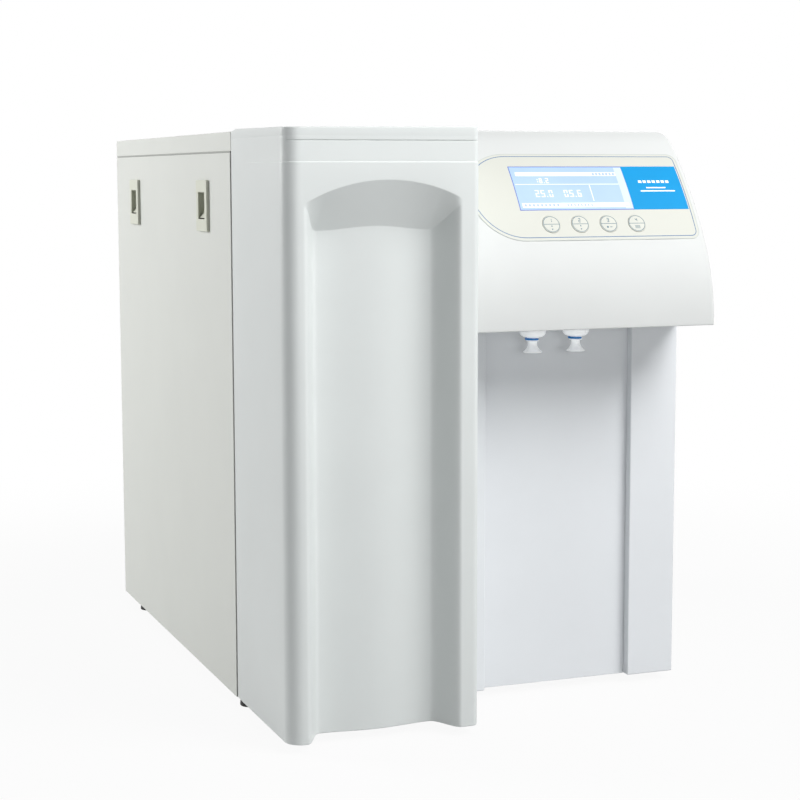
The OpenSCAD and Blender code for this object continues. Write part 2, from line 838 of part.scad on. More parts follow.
module bay_panel() color([0.83, 0.85, 0.86]) {
    box([bay_x0 - bay_lap, bay_panel_y, foot_h + wall],
        [bay_x1 + bay_lap, bay_panel_y + bay_panel_t, head_under]);
    box([bay_x0 + nest, bay_panel_y, foot_h], [bay_x1 - nest, bay_panel_y + bay_panel_t, foot_h + wall]);
}

// Outline of the head, drawn in Y and Z, drawn in from its face by a wall
module head_outline(inset, over) {
    meet_z = up_cz + (upper_r - inset) * sin(blend_a);
    brow_meet_z = up_cz + (brow_z - up_cz) * (upper_r - inset) / (upper_r - brow_r);
    back = seam_y + over;
    intersection() {
        translate([low_cy, low_cz]) circle(r = lower_r - inset, $fn = 180);
        translate([nose_y, head_under - over]) square([back - nose_y, meet_z - head_under + over]);
    }
    intersection() {
        translate([up_cy, up_cz]) circle(r = upper_r - inset, $fn = 360);
        translate([nose_y, meet_z]) square([back - nose_y, brow_meet_z - meet_z]);
    }
    intersection() {
        translate([brow_y, brow_z]) circle(r = brow_r - inset);
        translate([nose_y, brow_meet_z]) square([brow_y - nose_y, body_h - inset - brow_meet_z]);
    }
    translate([brow_y, brow_meet_z]) square([back - brow_y, body_h - inset - brow_meet_z]);
}

module head_shell() color([0.94, 0.94, 0.93])
    difference() {
        along_x(col_x1, half_w) head_outline(0, 0);
        along_x(col_x1 + wall, half_w - wall) head_outline(wall, cut);
        window_block(window_w - 2 * window_ledge, window_h - 2 * window_ledge);
        difference() {
            window_block(window_w, window_h);
            face_drum(upper_r - window_t - nest, col_x1, half_w);
        }
        for (x = KEYS) key_hole(x);
    }

// A block through the face of the head at the display window
module window_block(w, h) {
    at_face(window_a, window_cx) translate([-w / 2, -h / 2, -wall * 2]) cube([w, h, wall * 3]);
}

module key_hole(x) {
    at_face(key_a, x)
        translate([0, 0, -wall * 2]) cylinder(h = wall * 3, r = key_r + key_gap);
}

module head_base() color([0.9, 0.91, 0.91])
    difference() {
        intersection() {
            along_x(col_x1 + wall + nest, half_w - wall - nest) head_outline(wall + nest, 0);
            box([col_x1, front_y, head_under], [half_w, seam_y, head_under + base_t]);
        }
        for (x = OUTLETS) rod_z(x, outlet_y, head_under - cut, head_under + base_t + cut, thread_r + nest);
    }

// Controls on the face of the head

module control_overlay() color([0.94, 0.93, 0.9])
    difference() {
        intersection() {
            difference() {
                face_drum(upper_r + overlay_t, overlay_x0, overlay_x1, $fn = 360);
                face_drum(upper_r + nest, overlay_x0 - cut, overlay_x1 + cut, $fn = 360);
            }
            at_face(overlay_a, 0) translate([0, 0, -overlay_h / 4])
                linear_extrude(height = overlay_h / 2) overlay_plan();
        }
        window_block(window_w, window_h);
        for (x = KEYS) key_hole(x);
    }

// Plan of the overlay: a round end beside the column and two small corners
module overlay_plan() {
    r = overlay_h / 2;
    c = overlay_corner;
    translate([overlay_x0 + r, 0]) circle(r = r);
    translate([overlay_x0 + r, -r]) square([overlay_w - r - c, overlay_h]);
    translate([overlay_x1 - c, -r + c]) square([c, overlay_h - 2 * c]);
    for (s = [-1, 1]) translate([overlay_x1 - c, s * (r - c)]) circle(r = c);
}

module display_window() color([0.72, 0.84, 0.97])
    intersection() {
        difference() {
            face_drum(upper_r + overlay_t, col_x1, half_w, $fn = 360);
            face_drum(upper_r - window_t, col_x1 - cut, half_w + cut, $fn = 360);
        }
        window_block(window_w - 2 * nest, window_h - 2 * nest);
    }

module display_module() color([0.2, 0.35, 0.3]) {
    w = window_w + 2 * module_rim;
    h = window_h + 2 * module_rim;
    at_face(window_a, window_cx) translate([-w / 2, -h / 2, -wall - window_sag - nest - module_t])
        cube([w, h, module_t]);
}

module key_board() color([0.1, 0.4, 0.25])
    at_face(key_a, 0) {
        x0 = KEYS[0] - key_board_end;
        x1 = KEYS[3] + key_board_end;
        top = switch_z - switch_t;
        translate([x0, -key_board_h / 2, top - key_board_t]) cube([x1 - x0, key_board_h, key_board_t]);
        for (x = [x0 + post_r + 1, x1 - post_r - 1], y = [-post_y, post_y])
            translate([x, y, top - key_board_t])
                cylinder(h = -wall - post_gap - top + key_board_t, r = post_r);
        for (x = KEYS) translate([x, 0, top]) difference() {
            translate([-switch_w / 2, -switch_w / 2, 0]) cube([switch_w, switch_w, switch_t]);
            translate([0, 0, switch_t - switch_bore]) cylinder(h = switch_bore + cut, r = stem_r + run / 2);
        }
    }

// One round key: a cap through the overlay, a flange under the shell and a stem to its switch
module key_cap(i) {
    at_face(key_a, KEYS[i]) {
        translate([0, 0, key_flange_z]) cylinder(h = overlay_t + key_proud - key_flange_z, r = key_r);
        translate([0, 0, key_flange_z - key_flange_t]) cylinder(h = key_flange_t, r = key_r + key_flange);
        translate([0, 0, stem_z]) cylinder(h = key_flange_z - stem_z, r = stem_r);
    }
}

module key_1() color([0.92, 0.93, 0.93]) key_cap(0);
module key_2() color([0.92, 0.93, 0.93]) key_cap(1);
module key_3() color([0.92, 0.93, 0.93]) key_cap(2);
module key_4() color([0.92, 0.93, 0.93]) key_cap(3);

// Outlets under the head

module at_outlets() {
    for (x = OUTLETS) translate([x, outlet_y, 0]) children();
}

module outlet_fittings() color([0.93, 0.93, 0.94])
    at_outlets() difference() {
        union() {
            translate([0, 0, head_under - collar_h + collar_edge])
                cylinder(h = collar_h - collar_edge, r = collar_r);
            translate([0, 0, head_under - collar_h])
                cylinder(h = collar_edge, r1 = collar_r - collar_edge, r2 = collar_r);
            translate([0, 0, head_under]) cylinder(h = thread_h, r = thread_r);
        }
        translate([0, 0, head_under - collar_h - cut])
            cylinder(h = collar_h + thread_h + 2 * cut, r = tube_r + port_gap);
        translate([0, 0, head_under - collar_h - cut])
            cylinder(h = collet_seat + cut, r = collet_r + collet_gap);
    }

module outlet_nuts() color([0.93, 0.93, 0.94])
    at_outlets() translate([0, 0, head_under + base_t]) difference() {
        cylinder(h = nut_h, r = nut_r, $fn = hex);
        translate([0, 0, -cut]) cylinder(h = nut_h + 2 * cut, r = thread_r + nest);
    }

module outlet_collets() color([0.97, 0.97, 0.97])
    at_outlets() difference() {
        union() {
            translate([0, 0, clip_z])
                cylinder(h = head_under - collar_h + collet_seat - run - clip_z, r = collet_r);
            translate([0, 0, clip_z - lip_t]) cylinder(h = lip_t, r = collet_lip);
        }
        translate([0, 0, clip_z - lip_t - cut]) cylinder(h = thread_h, r = tube_r + port_gap);
    }

module outlet_clips() color([0.1, 0.4, 0.7])
    at_outlets() translate([0, 0, clip_z + nest]) difference() {
        cylinder(h = clip_t, r = collet_lip + clip_rim);
        translate([0, 0, -cut]) cylinder(h = clip_t + 2 * cut, r = collet_r + nest);
        translate([-collet_lip * 2, -tube_r, -cut]) cube([collet_lip * 2, tube_r * 2, clip_t + 2 * cut]);
        translate([-collet_lip * 2 - clip_arm, -collet_lip * 2, -cut])
            cube([collet_lip * 2, collet_lip * 4, clip_t + 2 * cut]);
    }

module outlet_spouts() color([0.96, 0.96, 0.96])
    at_outlets() difference() {
        union() {
            translate([0, 0, spout_top]) cylinder(h = head_under - spout_top, r = tube_r);
            translate([0, 0, spout_top - spout_neck_h]) cylinder(h = spout_neck_h, r = spout_neck);
            translate([0, 0, spout_mouth + spout_mouth_h])
                cylinder(h = spout_top - spout_neck_h - spout_mouth - spout_mouth_h,
                    r1 = spout_r - spout_edge, r2 = spout_neck);
            translate([0, 0, spout_mouth])
                cylinder(h = spout_mouth_h, r1 = spout_r, r2 = spout_r - spout_edge);
        }
        translate([0, 0, spout_mouth - cut]) cylinder(h = spout_h * 2 + thread_h, r = spout_bore);
        translate([0, 0, spout_mouth]) cylinder(h = spout_cone_h, r1 = spout_r - spout_edge, r2 = spout_bore);
    }

// Latches of the side access panel

module latch_housing(y) color([0.85, 0.85, 0.79])
    difference() {
        union() {
            box([-half_w - latch_proud, y - latch_w / 2, latch_z - latch_h / 2],
                [-half_w, y + latch_w / 2, latch_z + latch_h / 2]);
            box([-half_w, y - latch_box_w, latch_z - latch_box_h],
                [-half_w + latch_d, y + latch_box_w, latch_z + latch_box_h]);
        }
        box([latch_face, y - latch_cav_w, latch_z - latch_cav_h],
            [latch_back, y + latch_cav_w, latch_z + latch_cav_h]);
        box([-half_w - latch_proud - cut, y - finger_w / 2, latch_z - finger_h / 2],
            [latch_back, y + finger_w / 2, latch_z + finger_h / 2]);
        box([pull_front - tongue_t - run, y - tongue_w / 2 - run, latch_z],
            [pull_front + run, y + tongue_w / 2 + run, latch_z + latch_box_h + cut]);
    }

module latch_pull(y) color([0.84, 0.84, 0.78])
    along_y(y - finger_w / 2 - latch_rim, y + finger_w / 2 + latch_rim) polygon([
        [pull_back, pull_z0],
        [latch_face + run, pull_z0],
        [latch_face + run, pull_z0 + pull_lip],
        [pull_front, pull_z0 + pull_rise],
        [pull_front, pull_top],
        [pull_back, pull_top]]);

module latch_tongue(y) color([0.8, 0.8, 0.82])
    box([pull_front - tongue_t, y - tongue_w / 2, pull_top - tongue_grip],
        [pull_front, y + tongue_w / 2, tongue_top]);

module latch_housing_front() latch_housing(LATCHES[0]);
module latch_housing_rear() latch_housing(LATCHES[1]);
module latch_pull_front() latch_pull(LATCHES[0]);
module latch_pull_rear() latch_pull(LATCHES[1]);
module latch_tongue_front() latch_tongue(LATCHES[0]);
module latch_tongue_rear() latch_tongue(LATCHES[1]);

// Pretreatment and membrane in the left bay

module filter_heads() color([0.2, 0.35, 0.6])
    for (i = [0 : 2]) {
        rod_z(filter_x, FILTERS[i], shelf_z - filter_head_h, shelf_z, head_r);
        y0 = i == 0 ? drop_y + elbow_half + tube_gap : FILTERS[i] - filter_pitch / 2 + stub_face;
        y1 = i == 2 ? FILTERS[i] + head_r + port_h : FILTERS[i] + filter_pitch / 2 - stub_face;
        rod_y(filter_x, stub_z, y0, y1, stub_r);
    }

module filter_cartridges() color([0.93, 0.93, 0.95])
    for (y = FILTERS) translate([filter_x, y, shelf_z - filter_head_h - filter_h]) {
        translate([0, 0, dome]) cylinder(h = filter_h - dome, r = filter_r);
        cylinder(h = dome, r1 = filter_r * 0.75, r2 = filter_r);
    }

module membrane_housing() color([0.93, 0.93, 0.95])
    difference() {
        union() {
            rod_y(membrane_x, membrane_z, membrane_y0, membrane_y1, membrane_r);
            for (y = [membrane_y0, membrane_y1 - membrane_cap])
                rod_y(membrane_x, membrane_z, y, y + membrane_cap, membrane_r + membrane_rim);
            for (y = MEMBRANE_PORTS) rod_z(membrane_x, y, membrane_z, membrane_port_z, stub_r);
        }
        rod_y(membrane_x, membrane_z, membrane_y0 + membrane_cap / 2, membrane_y1 - membrane_cap / 2,
            membrane_r - membrane_wall);
    }

module membrane_element() color([0.35, 0.45, 0.6])
    rod_y(membrane_x, membrane_z, membrane_y0 + membrane_cap / 2, membrane_y1 - membrane_cap / 2,
        membrane_r - membrane_wall - run);

// Plastic cradles and trays that carry the membrane, the polishing cartridges and the pump
module equipment_cradles() color([0.25, 0.26, 0.28]) {
    for (y = [membrane_y0 + cradle_end, membrane_y1 - cradle_end - cradle_t]) difference() {
        box([membrane_x - membrane_r + cradle_in, y, floor_z],
            [membrane_x + membrane_r - cradle_in, y + cradle_t, membrane_z]);
        rod_y(membrane_x, membrane_z, y - cut, y + cradle_t + cut, membrane_r + clip_gap);
    }
    difference() {
        box([polish_x2 - polish_r - polish_rim, polish_y - polish_r - polish_rim, floor_z],
            [polish_x1 + polish_r + polish_rim, polish_y + polish_r + polish_rim, floor_z + tray_h]);
        for (x = [polish_x1, polish_x2])
            rod_z(x, polish_y, polish_z0, floor_z + tray_h + cut, polish_r + clip_gap);
    }
    difference() {
        box([polish_x2 - polish_r - polish_rim, polish_y - polish_r - polish_rim, clamp_z],
            [rack_x, polish_y + polish_r + polish_rim, clamp_z + clamp_t]);
        for (x = [polish_x1, polish_x2])
            rod_z(x, polish_y, clamp_z - cut, clamp_z + clamp_t + cut, polish_r + clip_gap);
    }
    for (y = [pump_y0 + motor_wall, pump_y1 - motor_wall - cradle_t]) difference() {
        box([pump_x - saddle_w, y, floor_z], [pump_x + saddle_w, y + cradle_t, pump_z]);
        rod_y(pump_x, pump_z, y - cut, y + cradle_t + cut, motor_r + clip_gap);
    }
}

module polishing_cartridges() color([0.9, 0.92, 0.95])
    for (x = [polish_x1, polish_x2]) {
        rod_z(x, polish_y, polish_z0, polish_top, polish_r);
        for (s = [-1, 1]) rod_z(x + s * polish_port, polish_y, polish_top, polish_top + port_h, stub_r);
    }

// Pump

module pump_motor() color([0.3, 0.31, 0.33])
    difference() {
        rod_y(pump_x, pump_z, pump_y0, pump_y1, motor_r);
        rod_y(pump_x, pump_z, pump_y0 + motor_wall, pump_y1 - motor_wall, rotor_r + rotor_gap);
        rod_y(pump_x, pump_z, pump_y0 + motor_wall / 2, pump_y1 + cut, shaft_r + shaft_gap);
    }

module pump_shaft() color([0.75, 0.75, 0.78]) {
    rod_y(pump_x, pump_z, pump_y0 + motor_wall / 2 + run, pump_y1 + pump_head_l * 0.7, shaft_r);
    rod_y(pump_x, pump_z, pump_y0 + motor_wall + rotor_gap, pump_y1 - motor_wall - rotor_gap, rotor_r);
    rod_y(pump_x + cam_throw, pump_z, pump_y1 + pump_head_l * 0.35, pump_y1 + pump_head_l * 0.6, cam_r);
}

module pump_head() color([0.12, 0.12, 0.13])
    difference() {
        union() {
            box([pump_x - pump_head_w, pump_y1, pump_z - pump_head_w + 4],
                [pump_x + pump_head_w, pump_y1 + pump_head_l, pump_z + pump_head_w]);
            for (s = [-1, 1]) rod_z(pump_x + s * pump_port, pump_y1 + pump_head_l / 2,
                pump_z + pump_head_w, pump_z + pump_head_w + port_h, stub_r);
        }
        rod_y(pump_x, pump_z, pump_y1 - cut, pump_y1 + pump_head_l * 0.8, shaft_r + shaft_gap);
        rod_y(pump_x, pump_z, pump_y1 + pump_head_l * 0.2, pump_y1 + pump_head_l * 0.8,
            cam_r + cam_throw + 1);
    }

// Reactor and ultrafilter on the bulkhead

module uv_reactor() color([0.8, 0.81, 0.83])
    difference() {
        union() {
            rod_z(reactor_x, reactor_y, reactor_z0, reactor_z0 + reactor_l, reactor_r);
            for (z = [reactor_low, reactor_high])
                rod_x(reactor_y, z, reactor_x - reactor_r - port_h, reactor_x, stub_r);
        }
        rod_z(reactor_x, reactor_y, reactor_z0 + reactor_cap, reactor_z0 + reactor_l - reactor_cap,
            reactor_r - reactor_wall);
        rod_z(reactor_x, reactor_y, reactor_z0 + reactor_cap / 2, reactor_z0 + reactor_l + cut,
            lamp_r + lamp_gap);
    }

module uv_lamp() color([0.85, 0.88, 0.95])
    rod_z(reactor_x, reactor_y, reactor_z0 + reactor_cap / 2, reactor_z0 + reactor_l + reactor_cap, lamp_r);

module ultrafilter() color([0.88, 0.9, 0.95]) {
    rod_z(ultra_x, ultra_y, ultra_z0, ultra_top, ultra_r);
    rod_z(ultra_x, ultra_y, ultra_z0 - port_h, ultra_top + port_h, stub_r);
}

// Clips that hold an upright cylinder on the bulkhead
module clip_pair(x, y, r, heights) {
    for (z = heights) difference() {
        box([x - r - clip_wall, bulk_in, z], [x + r + clip_wall, y + r * 0.3, z + clip_h]);
        rod_z(x, y, z - cut, z + clip_h + cut, r + clip_gap);
    }
}

module module_clips() color([0.85, 0.85, 0.87]) {
    clip_pair(reactor_x, reactor_y, reactor_r,
        [reactor_z0 + reactor_l * 0.2, reactor_z0 + reactor_l * 0.75]);
    clip_pair(ultra_x, ultra_y, ultra_r, [ultra_z0 + ultra_l * 0.2, ultra_z0 + ultra_l * 0.75]);
}

// Electronics on the rack

module power_supply() color([0.7, 0.72, 0.72]) box(supply_at, supply_at + supply);

module main_board() color([0.1, 0.4, 0.25]) {
    box(board_at, board_at + board);
    for (y = [standoff_in, board[1] - standoff_in], z = [standoff_in, board[2] - standoff_in])
        rod_x(board_at[1] + y, board_at[2] + z, rack_face, board_at[0], standoff_r);
    for (i = [0 : 3]) {
        relay_at = board_at + [board[0], relay_in[0] + i * relay_pitch, relay_in[1]];
        box(relay_at, relay_at + relay);
    }
    chip_at = board_at + [board[0], chip_in[0], chip_in[1]];
    box(chip_at, chip_at + chip);
}

// Manifold with valves and sensors

module water_manifold() color([0.9, 0.9, 0.92]) {
    box(manifold_at, manifold_at + manifold);
    rear = manifold_at[1] + manifold[1];
    for (i = [0 : 2]) rod_y(service_x0 + i * service_pitch, service_z, rear, rear + port_h, stub_r);
}

module solenoid_valves() color([0.2, 0.2, 0.22])
    for (x = VALVES) translate([manifold_at[0] + x, manifold_at[1] + manifold[1] / 2, manifold_top]) {
        translate([-valve_w / 2, -valve_w / 2, 0]) cube([valve_w, valve_w, valve_h]);
        translate([0, 0, valve_h]) cylinder(h = coil_h, r = coil_r);
    }

module water_sensors() color([0.8, 0.8, 0.3]) {
    translate([manifold_at[0] + cell_at, manifold_at[1] + manifold[1] / 2, manifold_top])
        cylinder(h = sensor_h, r = cell_r, $fn = hex);
    translate([manifold_at[0] + gauge_at, manifold_at[1] + manifold[1] / 2, manifold_top])
        cylinder(h = sensor_h, r = gauge_r);
}

// Water tubes

module raw_water_tubes() color([0.3, 0.5, 0.85]) {
    tube([[PORTS[0], port_y - tube_gap, port_z], [PORTS[0], raw_y, port_z], [PORTS[0], raw_y, stub_z],
        [filter_x, raw_y, stub_z], [filter_x, FILTERS[2] + head_r + port_h + tube_gap, stub_z]]);
    tube([[filter_x, drop_y + elbow_half - tube_gap, stub_z], [filter_x, drop_y, stub_z],
        [filter_x, drop_y, low_z], [pump_x - pump_port, drop_y, low_z],
        [pump_x - pump_port, pump_port_y, low_z], [pump_x - pump_port, pump_port_y, pump_port_z + tube_gap]]);
    tube([[pump_x + pump_port, pump_port_y, pump_port_z + tube_gap],
        [pump_x + pump_port, pump_port_y, feed_z], [pump_x + pump_port, MEMBRANE_PORTS[1], feed_z],
        [membrane_x, MEMBRANE_PORTS[1], feed_z],
        [membrane_x, MEMBRANE_PORTS[1], membrane_port_z + tube_gap]]);
}

module pure_water_tubes() color([0.93, 0.94, 0.95]) {
    tube([[membrane_x, MEMBRANE_PORTS[0], membrane_port_z + tube_gap],
        [membrane_x, MEMBRANE_PORTS[0], permeate_z], [riser_x, MEMBRANE_PORTS[0], permeate_z],
        [riser_x, reactor_y, permeate_z], [riser_x, reactor_y, reactor_low],
        [reactor_x - reactor_r - port_h - tube_gap, reactor_y, reactor_low]]);
    tube([[reactor_x - reactor_r - port_h - tube_gap, reactor_y, reactor_high],
        [riser_x, reactor_y, reactor_high], [riser_x, polish_y, reactor_high],
        [polish_x1 + polish_port, polish_y, reactor_high],
        [polish_x1 + polish_port, polish_y, polish_top + port_h + tube_gap]]);
    tube([[polish_x1 - polish_port, polish_y, polish_top + port_h + tube_gap],
        [polish_x1 - polish_port, polish_y, link_z], [polish_x2 + polish_port, polish_y, link_z],
        [polish_x2 + polish_port, polish_y, polish_top + port_h + tube_gap]]);
    tube([[polish_x2 - polish_port, polish_y, polish_top + port_h + tube_gap],
        [polish_x2 - polish_port, polish_y, return_z], [polish_x2 - polish_port, return_y, return_z],
        [ultra_x, return_y, return_z], [ultra_x, ultra_y, return_z],
        [ultra_x, ultra_y, ultra_top + port_h + tube_gap]]);
    tube([[ultra_x, ultra_y, ultra_z0 - port_h - tube_gap], [ultra_x, ultra_y, ultra_z0 - port_h - 9],
        [product_x, ultra_y, ultra_z0 - port_h - 9], [product_x, ultra_y, product_z],
        [product_x, outlet_y, product_z], [OUTLETS[1], outlet_y, product_z],
        [OUTLETS[1], outlet_y, head_under + tube_gap]]);
    tube_run([OUTLETS[0], outlet_y, product_z], [OUTLETS[0], outlet_y, head_under + tube_gap]);
    for (i = [0 : 2]) {
        x = service_x0 + i * service_pitch;
        z = [service_z, service_mid_z, port_z][i];
        end_y = manifold_at[1] + manifold[1] + port_h + tube_gap;
        from_port = [[PORTS[i + 1], port_y - tube_gap, port_z], [PORTS[i + 1], turn_y, port_z]];
        drop = i == 2 ? [] : [[PORTS[i + 1], turn_y, z]];
        fall = i == 0 ? [] : [[x, turn_y, service_z]];
        tube(concat(from_port, drop, [[x, turn_y, z]], fall, [[x, end_y, service_z]]));
    }
}

// Rear connections

module rear_ports() color([0.2, 0.2, 0.22])
    for (x = PORTS) difference() {
        union() {
            rod_y(x, port_z, port_y, rear_out, port_body_r);
            rod_y(x, port_z, rear_out, rear_out + port_flange_t, port_flange_r);
            rod_y(x, port_z, rear_out + port_flange_t, rear_out + port_nose, port_nose_r);
        }
        rod_y(x, port_z, rear_out + port_nose - port_depth, rear_out + port_nose + cut, tube_r + port_gap);
        rod_y(x, port_z, port_y - cut, rear_out + port_nose, port_hole_r);
    }

module power_inlet() color([0.1, 0.1, 0.1]) {
    w = inlet_w / 2 - inlet_ear;
    h = inlet_h / 2 - inlet_lip;
    face = rear_out + inlet_t;
    difference() {
        union() {
            rear_block(inlet_x, inlet_z, inlet_w / 2, inlet_h / 2, rear_out, face);
            rear_block(inlet_x, inlet_z, w, h, face - inlet_deep, rear_out);
        }
        rear_block(inlet_x, inlet_z, w - socket_in, h - socket_in, face - socket_deep, face + cut);
    }
    for (i = [-1 : 1])
        rear_block(inlet_x + i * pin_pitch, inlet_z + (i == 0 ? pin_step : -pin_step), pin_w, pin_h,
            face - socket_deep, face - pin_in);
}

module switch_housing() color([0.1, 0.1, 0.1])
    difference() {
        union() {
            rear_block(inlet_x, switch_zc, switch_half_w + bezel, switch_half_h + bezel,
                rear_out, rear_out + bezel_t);
            rear_block(inlet_x, switch_zc, switch_half_w, switch_half_h, rear_out - switch_deep, rear_out);
        }
        rear_block(inlet_x, switch_zc, switch_half_w - switch_wall, switch_half_h - switch_wall,
            rear_out - switch_deep + switch_wall, rear_out + bezel_t + cut);
        rod_x(rocker_pivot, switch_zc, inlet_x - switch_half_w - cut, inlet_x + switch_half_w + cut,
            pivot_r + pivot_gap);
    }

// The rocker rests with its upper end out and tips through rocker_tip
module power_rocker() color([0.12, 0.12, 0.12]) {
    along_x(inlet_x - rocker_w / 2, inlet_x + rocker_w / 2)
        translate([rocker_pivot, switch_zc]) rotate(-rocker_tip / 2) intersection() {
            circle(r = rocker_r);
            translate([-rocker_back, -rocker_r]) square([rocker_back + rocker_face, 2 * rocker_r]);
        }
    rod_x(rocker_pivot, switch_zc, inlet_x - switch_half_w, inlet_x + switch_half_w, pivot_r);
}

module panel_screws() color([0.6, 0.6, 0.62])
    for (x = [-side_x + screw_in, side_x - screw_in],
        z = [foot_h + screw_end, (foot_h + cab_top) / 2, cab_top - screw_end])
        rod_y(x, z, rear_out, rear_out + screw_t, screw_r);

base_pan();
front_bulkhead();
rear_panel();
middle_rack();
top_cover();
right_panel();
access_panel();
hinge_rods();
panel_seal();
feet();
column_shell();
column_cap();
bay_frame();
bay_panel();
head_shell();
head_base();
control_overlay();
display_window();
display_module();
key_board();
key_1();
key_2();
key_3();
key_4();
outlet_fittings();
outlet_nuts();
outlet_collets();
outlet_clips();
outlet_spouts();
latch_housing_front();
latch_housing_rear();
latch_pull_front();
latch_pull_rear();
latch_tongue_front();
latch_tongue_rear();
filter_heads();
filter_cartridges();
membrane_housing();
membrane_element();
equipment_cradles();
polishing_cartridges();
pump_motor();
pump_shaft();
pump_head();
uv_reactor();
uv_lamp();
ultrafilter();
module_clips();
power_supply();
main_board();
water_manifold();
solenoid_valves();
water_sensors();
raw_water_tubes();
pure_water_tubes();
rear_ports();
power_inlet();
switch_housing();
power_rocker();
panel_screws();
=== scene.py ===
from math import atan2, ceil, cos, pi, radians, sin, sqrt, tau
import bpy
import bmesh
from mathutils import Matrix, Vector
from mathutils.geometry import delaunay_2d_cdt


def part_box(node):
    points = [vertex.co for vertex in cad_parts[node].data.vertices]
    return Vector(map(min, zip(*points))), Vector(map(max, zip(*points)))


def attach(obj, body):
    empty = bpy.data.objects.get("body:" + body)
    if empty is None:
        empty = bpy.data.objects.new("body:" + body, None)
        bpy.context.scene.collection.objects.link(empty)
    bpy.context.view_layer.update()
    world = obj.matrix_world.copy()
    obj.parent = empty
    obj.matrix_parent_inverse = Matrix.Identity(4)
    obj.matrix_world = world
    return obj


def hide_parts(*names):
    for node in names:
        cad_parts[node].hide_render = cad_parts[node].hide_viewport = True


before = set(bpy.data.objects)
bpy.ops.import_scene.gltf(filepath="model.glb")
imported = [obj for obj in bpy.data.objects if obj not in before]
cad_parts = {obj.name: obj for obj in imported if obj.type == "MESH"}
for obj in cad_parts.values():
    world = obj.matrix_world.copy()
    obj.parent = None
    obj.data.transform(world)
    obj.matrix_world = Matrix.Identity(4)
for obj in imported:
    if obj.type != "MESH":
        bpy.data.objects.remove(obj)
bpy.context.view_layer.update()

# Lengths are in metres, as in the frame, and mostly written as millimetres times MM
MM = 0.001
SCENE = bpy.context.scene
# Edges sharper than this many degrees stay sharp on a rounded piece
EVEN_SHARP = 38.0
# Points closer than this are one, and so are those of thin sheets
WELD = 1e-6
FINE_WELD = 1e-8

# ---------------------------------------------------------------- main planes

COLUMN_LO, COLUMN_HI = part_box("column_shell")
LID_LO, LID_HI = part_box("column_cap")
HEAD_LO, HEAD_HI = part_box("head_shell")
FRONT_Y = COLUMN_LO.y
SEAM_Y = COLUMN_HI.y
FOOT_Z = COLUMN_LO.z
TOP_Z = LID_HI.z

# The column's plan and scoop
COLUMN_R = 15 * MM
COLUMN_BAY_R = 6 * MM
RIDGE_IN = 17 * MM
SCOOP_DEPTH = 28 * MM
SCOOP_BULGE = 5 * MM
SCOOP_RAMP = 20 * MM
ARCH_R = 155 * MM
ARCH_DROP = 46.5 * MM
HOOD_DROP = 44 * MM
HOOD_RISE = 0.75
LEVEL_GAP = 2 * MM
CREASE_DROP = 31.4 * MM
CREASE_STEP = 0.5 * MM
GROOVE = 0.8 * MM
# Drop of the fine groove below the lid's joint
LINE_DROP = 3.6 * MM
MOULDED_WALL = 2.6 * MM
# The mouldings narrow to the cabinet over a band ahead of the seam, and the lid falls a little to the front
REAR_BAND = 15 * MM
REAR_INSET = 0.5 * MM
REAR_DROP = 2.0 * MM
LID_FALL = 1.5 * MM

# The head's face
LOWER_R = 174 * MM
UPPER_R = 370 * MM
BLEND_A = radians(28)
BROW_R = 40 * MM
END_R = 5.5 * MM
LOW_CY = HEAD_LO.y + LOWER_R
LOW_CZ = HEAD_LO.z
UP_CY = LOW_CY + (UPPER_R - LOWER_R) * cos(BLEND_A)
UP_CZ = LOW_CZ - (UPPER_R - LOWER_R) * sin(BLEND_A)
BROW_Z = HEAD_HI.z - BROW_R
BROW_Y = UP_CY - sqrt((UPPER_R - BROW_R) ** 2 - (BROW_Z - UP_CZ) ** 2)
BROW_A = atan2(BROW_Z - UP_CZ, UP_CY - BROW_Y)

# The control overlay
OVERLAY_X1 = HEAD_HI.x - 6.5 * MM
OVERLAY_W = 231 * MM
OVERLAY_H = 99 * MM
OVERLAY_T = 0.4 * MM
OVERLAY_A = radians(35.65)
OVERLAY_CORNER = 9 * MM
WINDOW_W = 119 * MM
WINDOW_H = 51 * MM
WINDOW_A = radians(36.9)
WINDOW_X = OVERLAY_X1 - 63.5 * MM - WINDOW_W / 2
KEY_A = radians(30.6)
KEY_R = 8.9 * MM
KEY_GAP = 0.3 * MM
KEY_PROUD = 0.5 * MM
KEYS = ["key_1", "key_2", "key_3", "key_4"]
# Thickness of a print, and how far apart the points of a sheet that follows the face are
INK = 0.03 * MM
SHEET_STEP = 3 * MM


# ---------------------------------------------------------------- colours and materials

def linear(red, green, blue):
    """A colour written in 0-255 screen values, as linear values."""
    def channel(value):
        value = value / 255
        return value / 12.92 if value <= 0.04045 else ((value + 0.055) / 1.055) ** 2.4
    return (channel(red), channel(green), channel(blue), 1.0)


def add_node(tree, kind, **inputs):
    """A shader node with some inputs set. An underscore in an input's name stands for a space."""
    node = tree.nodes.new("ShaderNode" + kind)
    set_inputs(node, inputs)
    return node


def set_inputs(node, values):
    for key, value in values.items():
        node.inputs[key.replace("_", " ")].default_value = value


def noise(tree, vector, size, detail=3.0):
    """A noise whose cells are about `size` mm across."""
    node = add_node(tree, "TexNoise", Scale=1 / (size * MM), Detail=detail)
    tree.links.new(vector, node.inputs["Vector"])
    return node.outputs["Fac"]


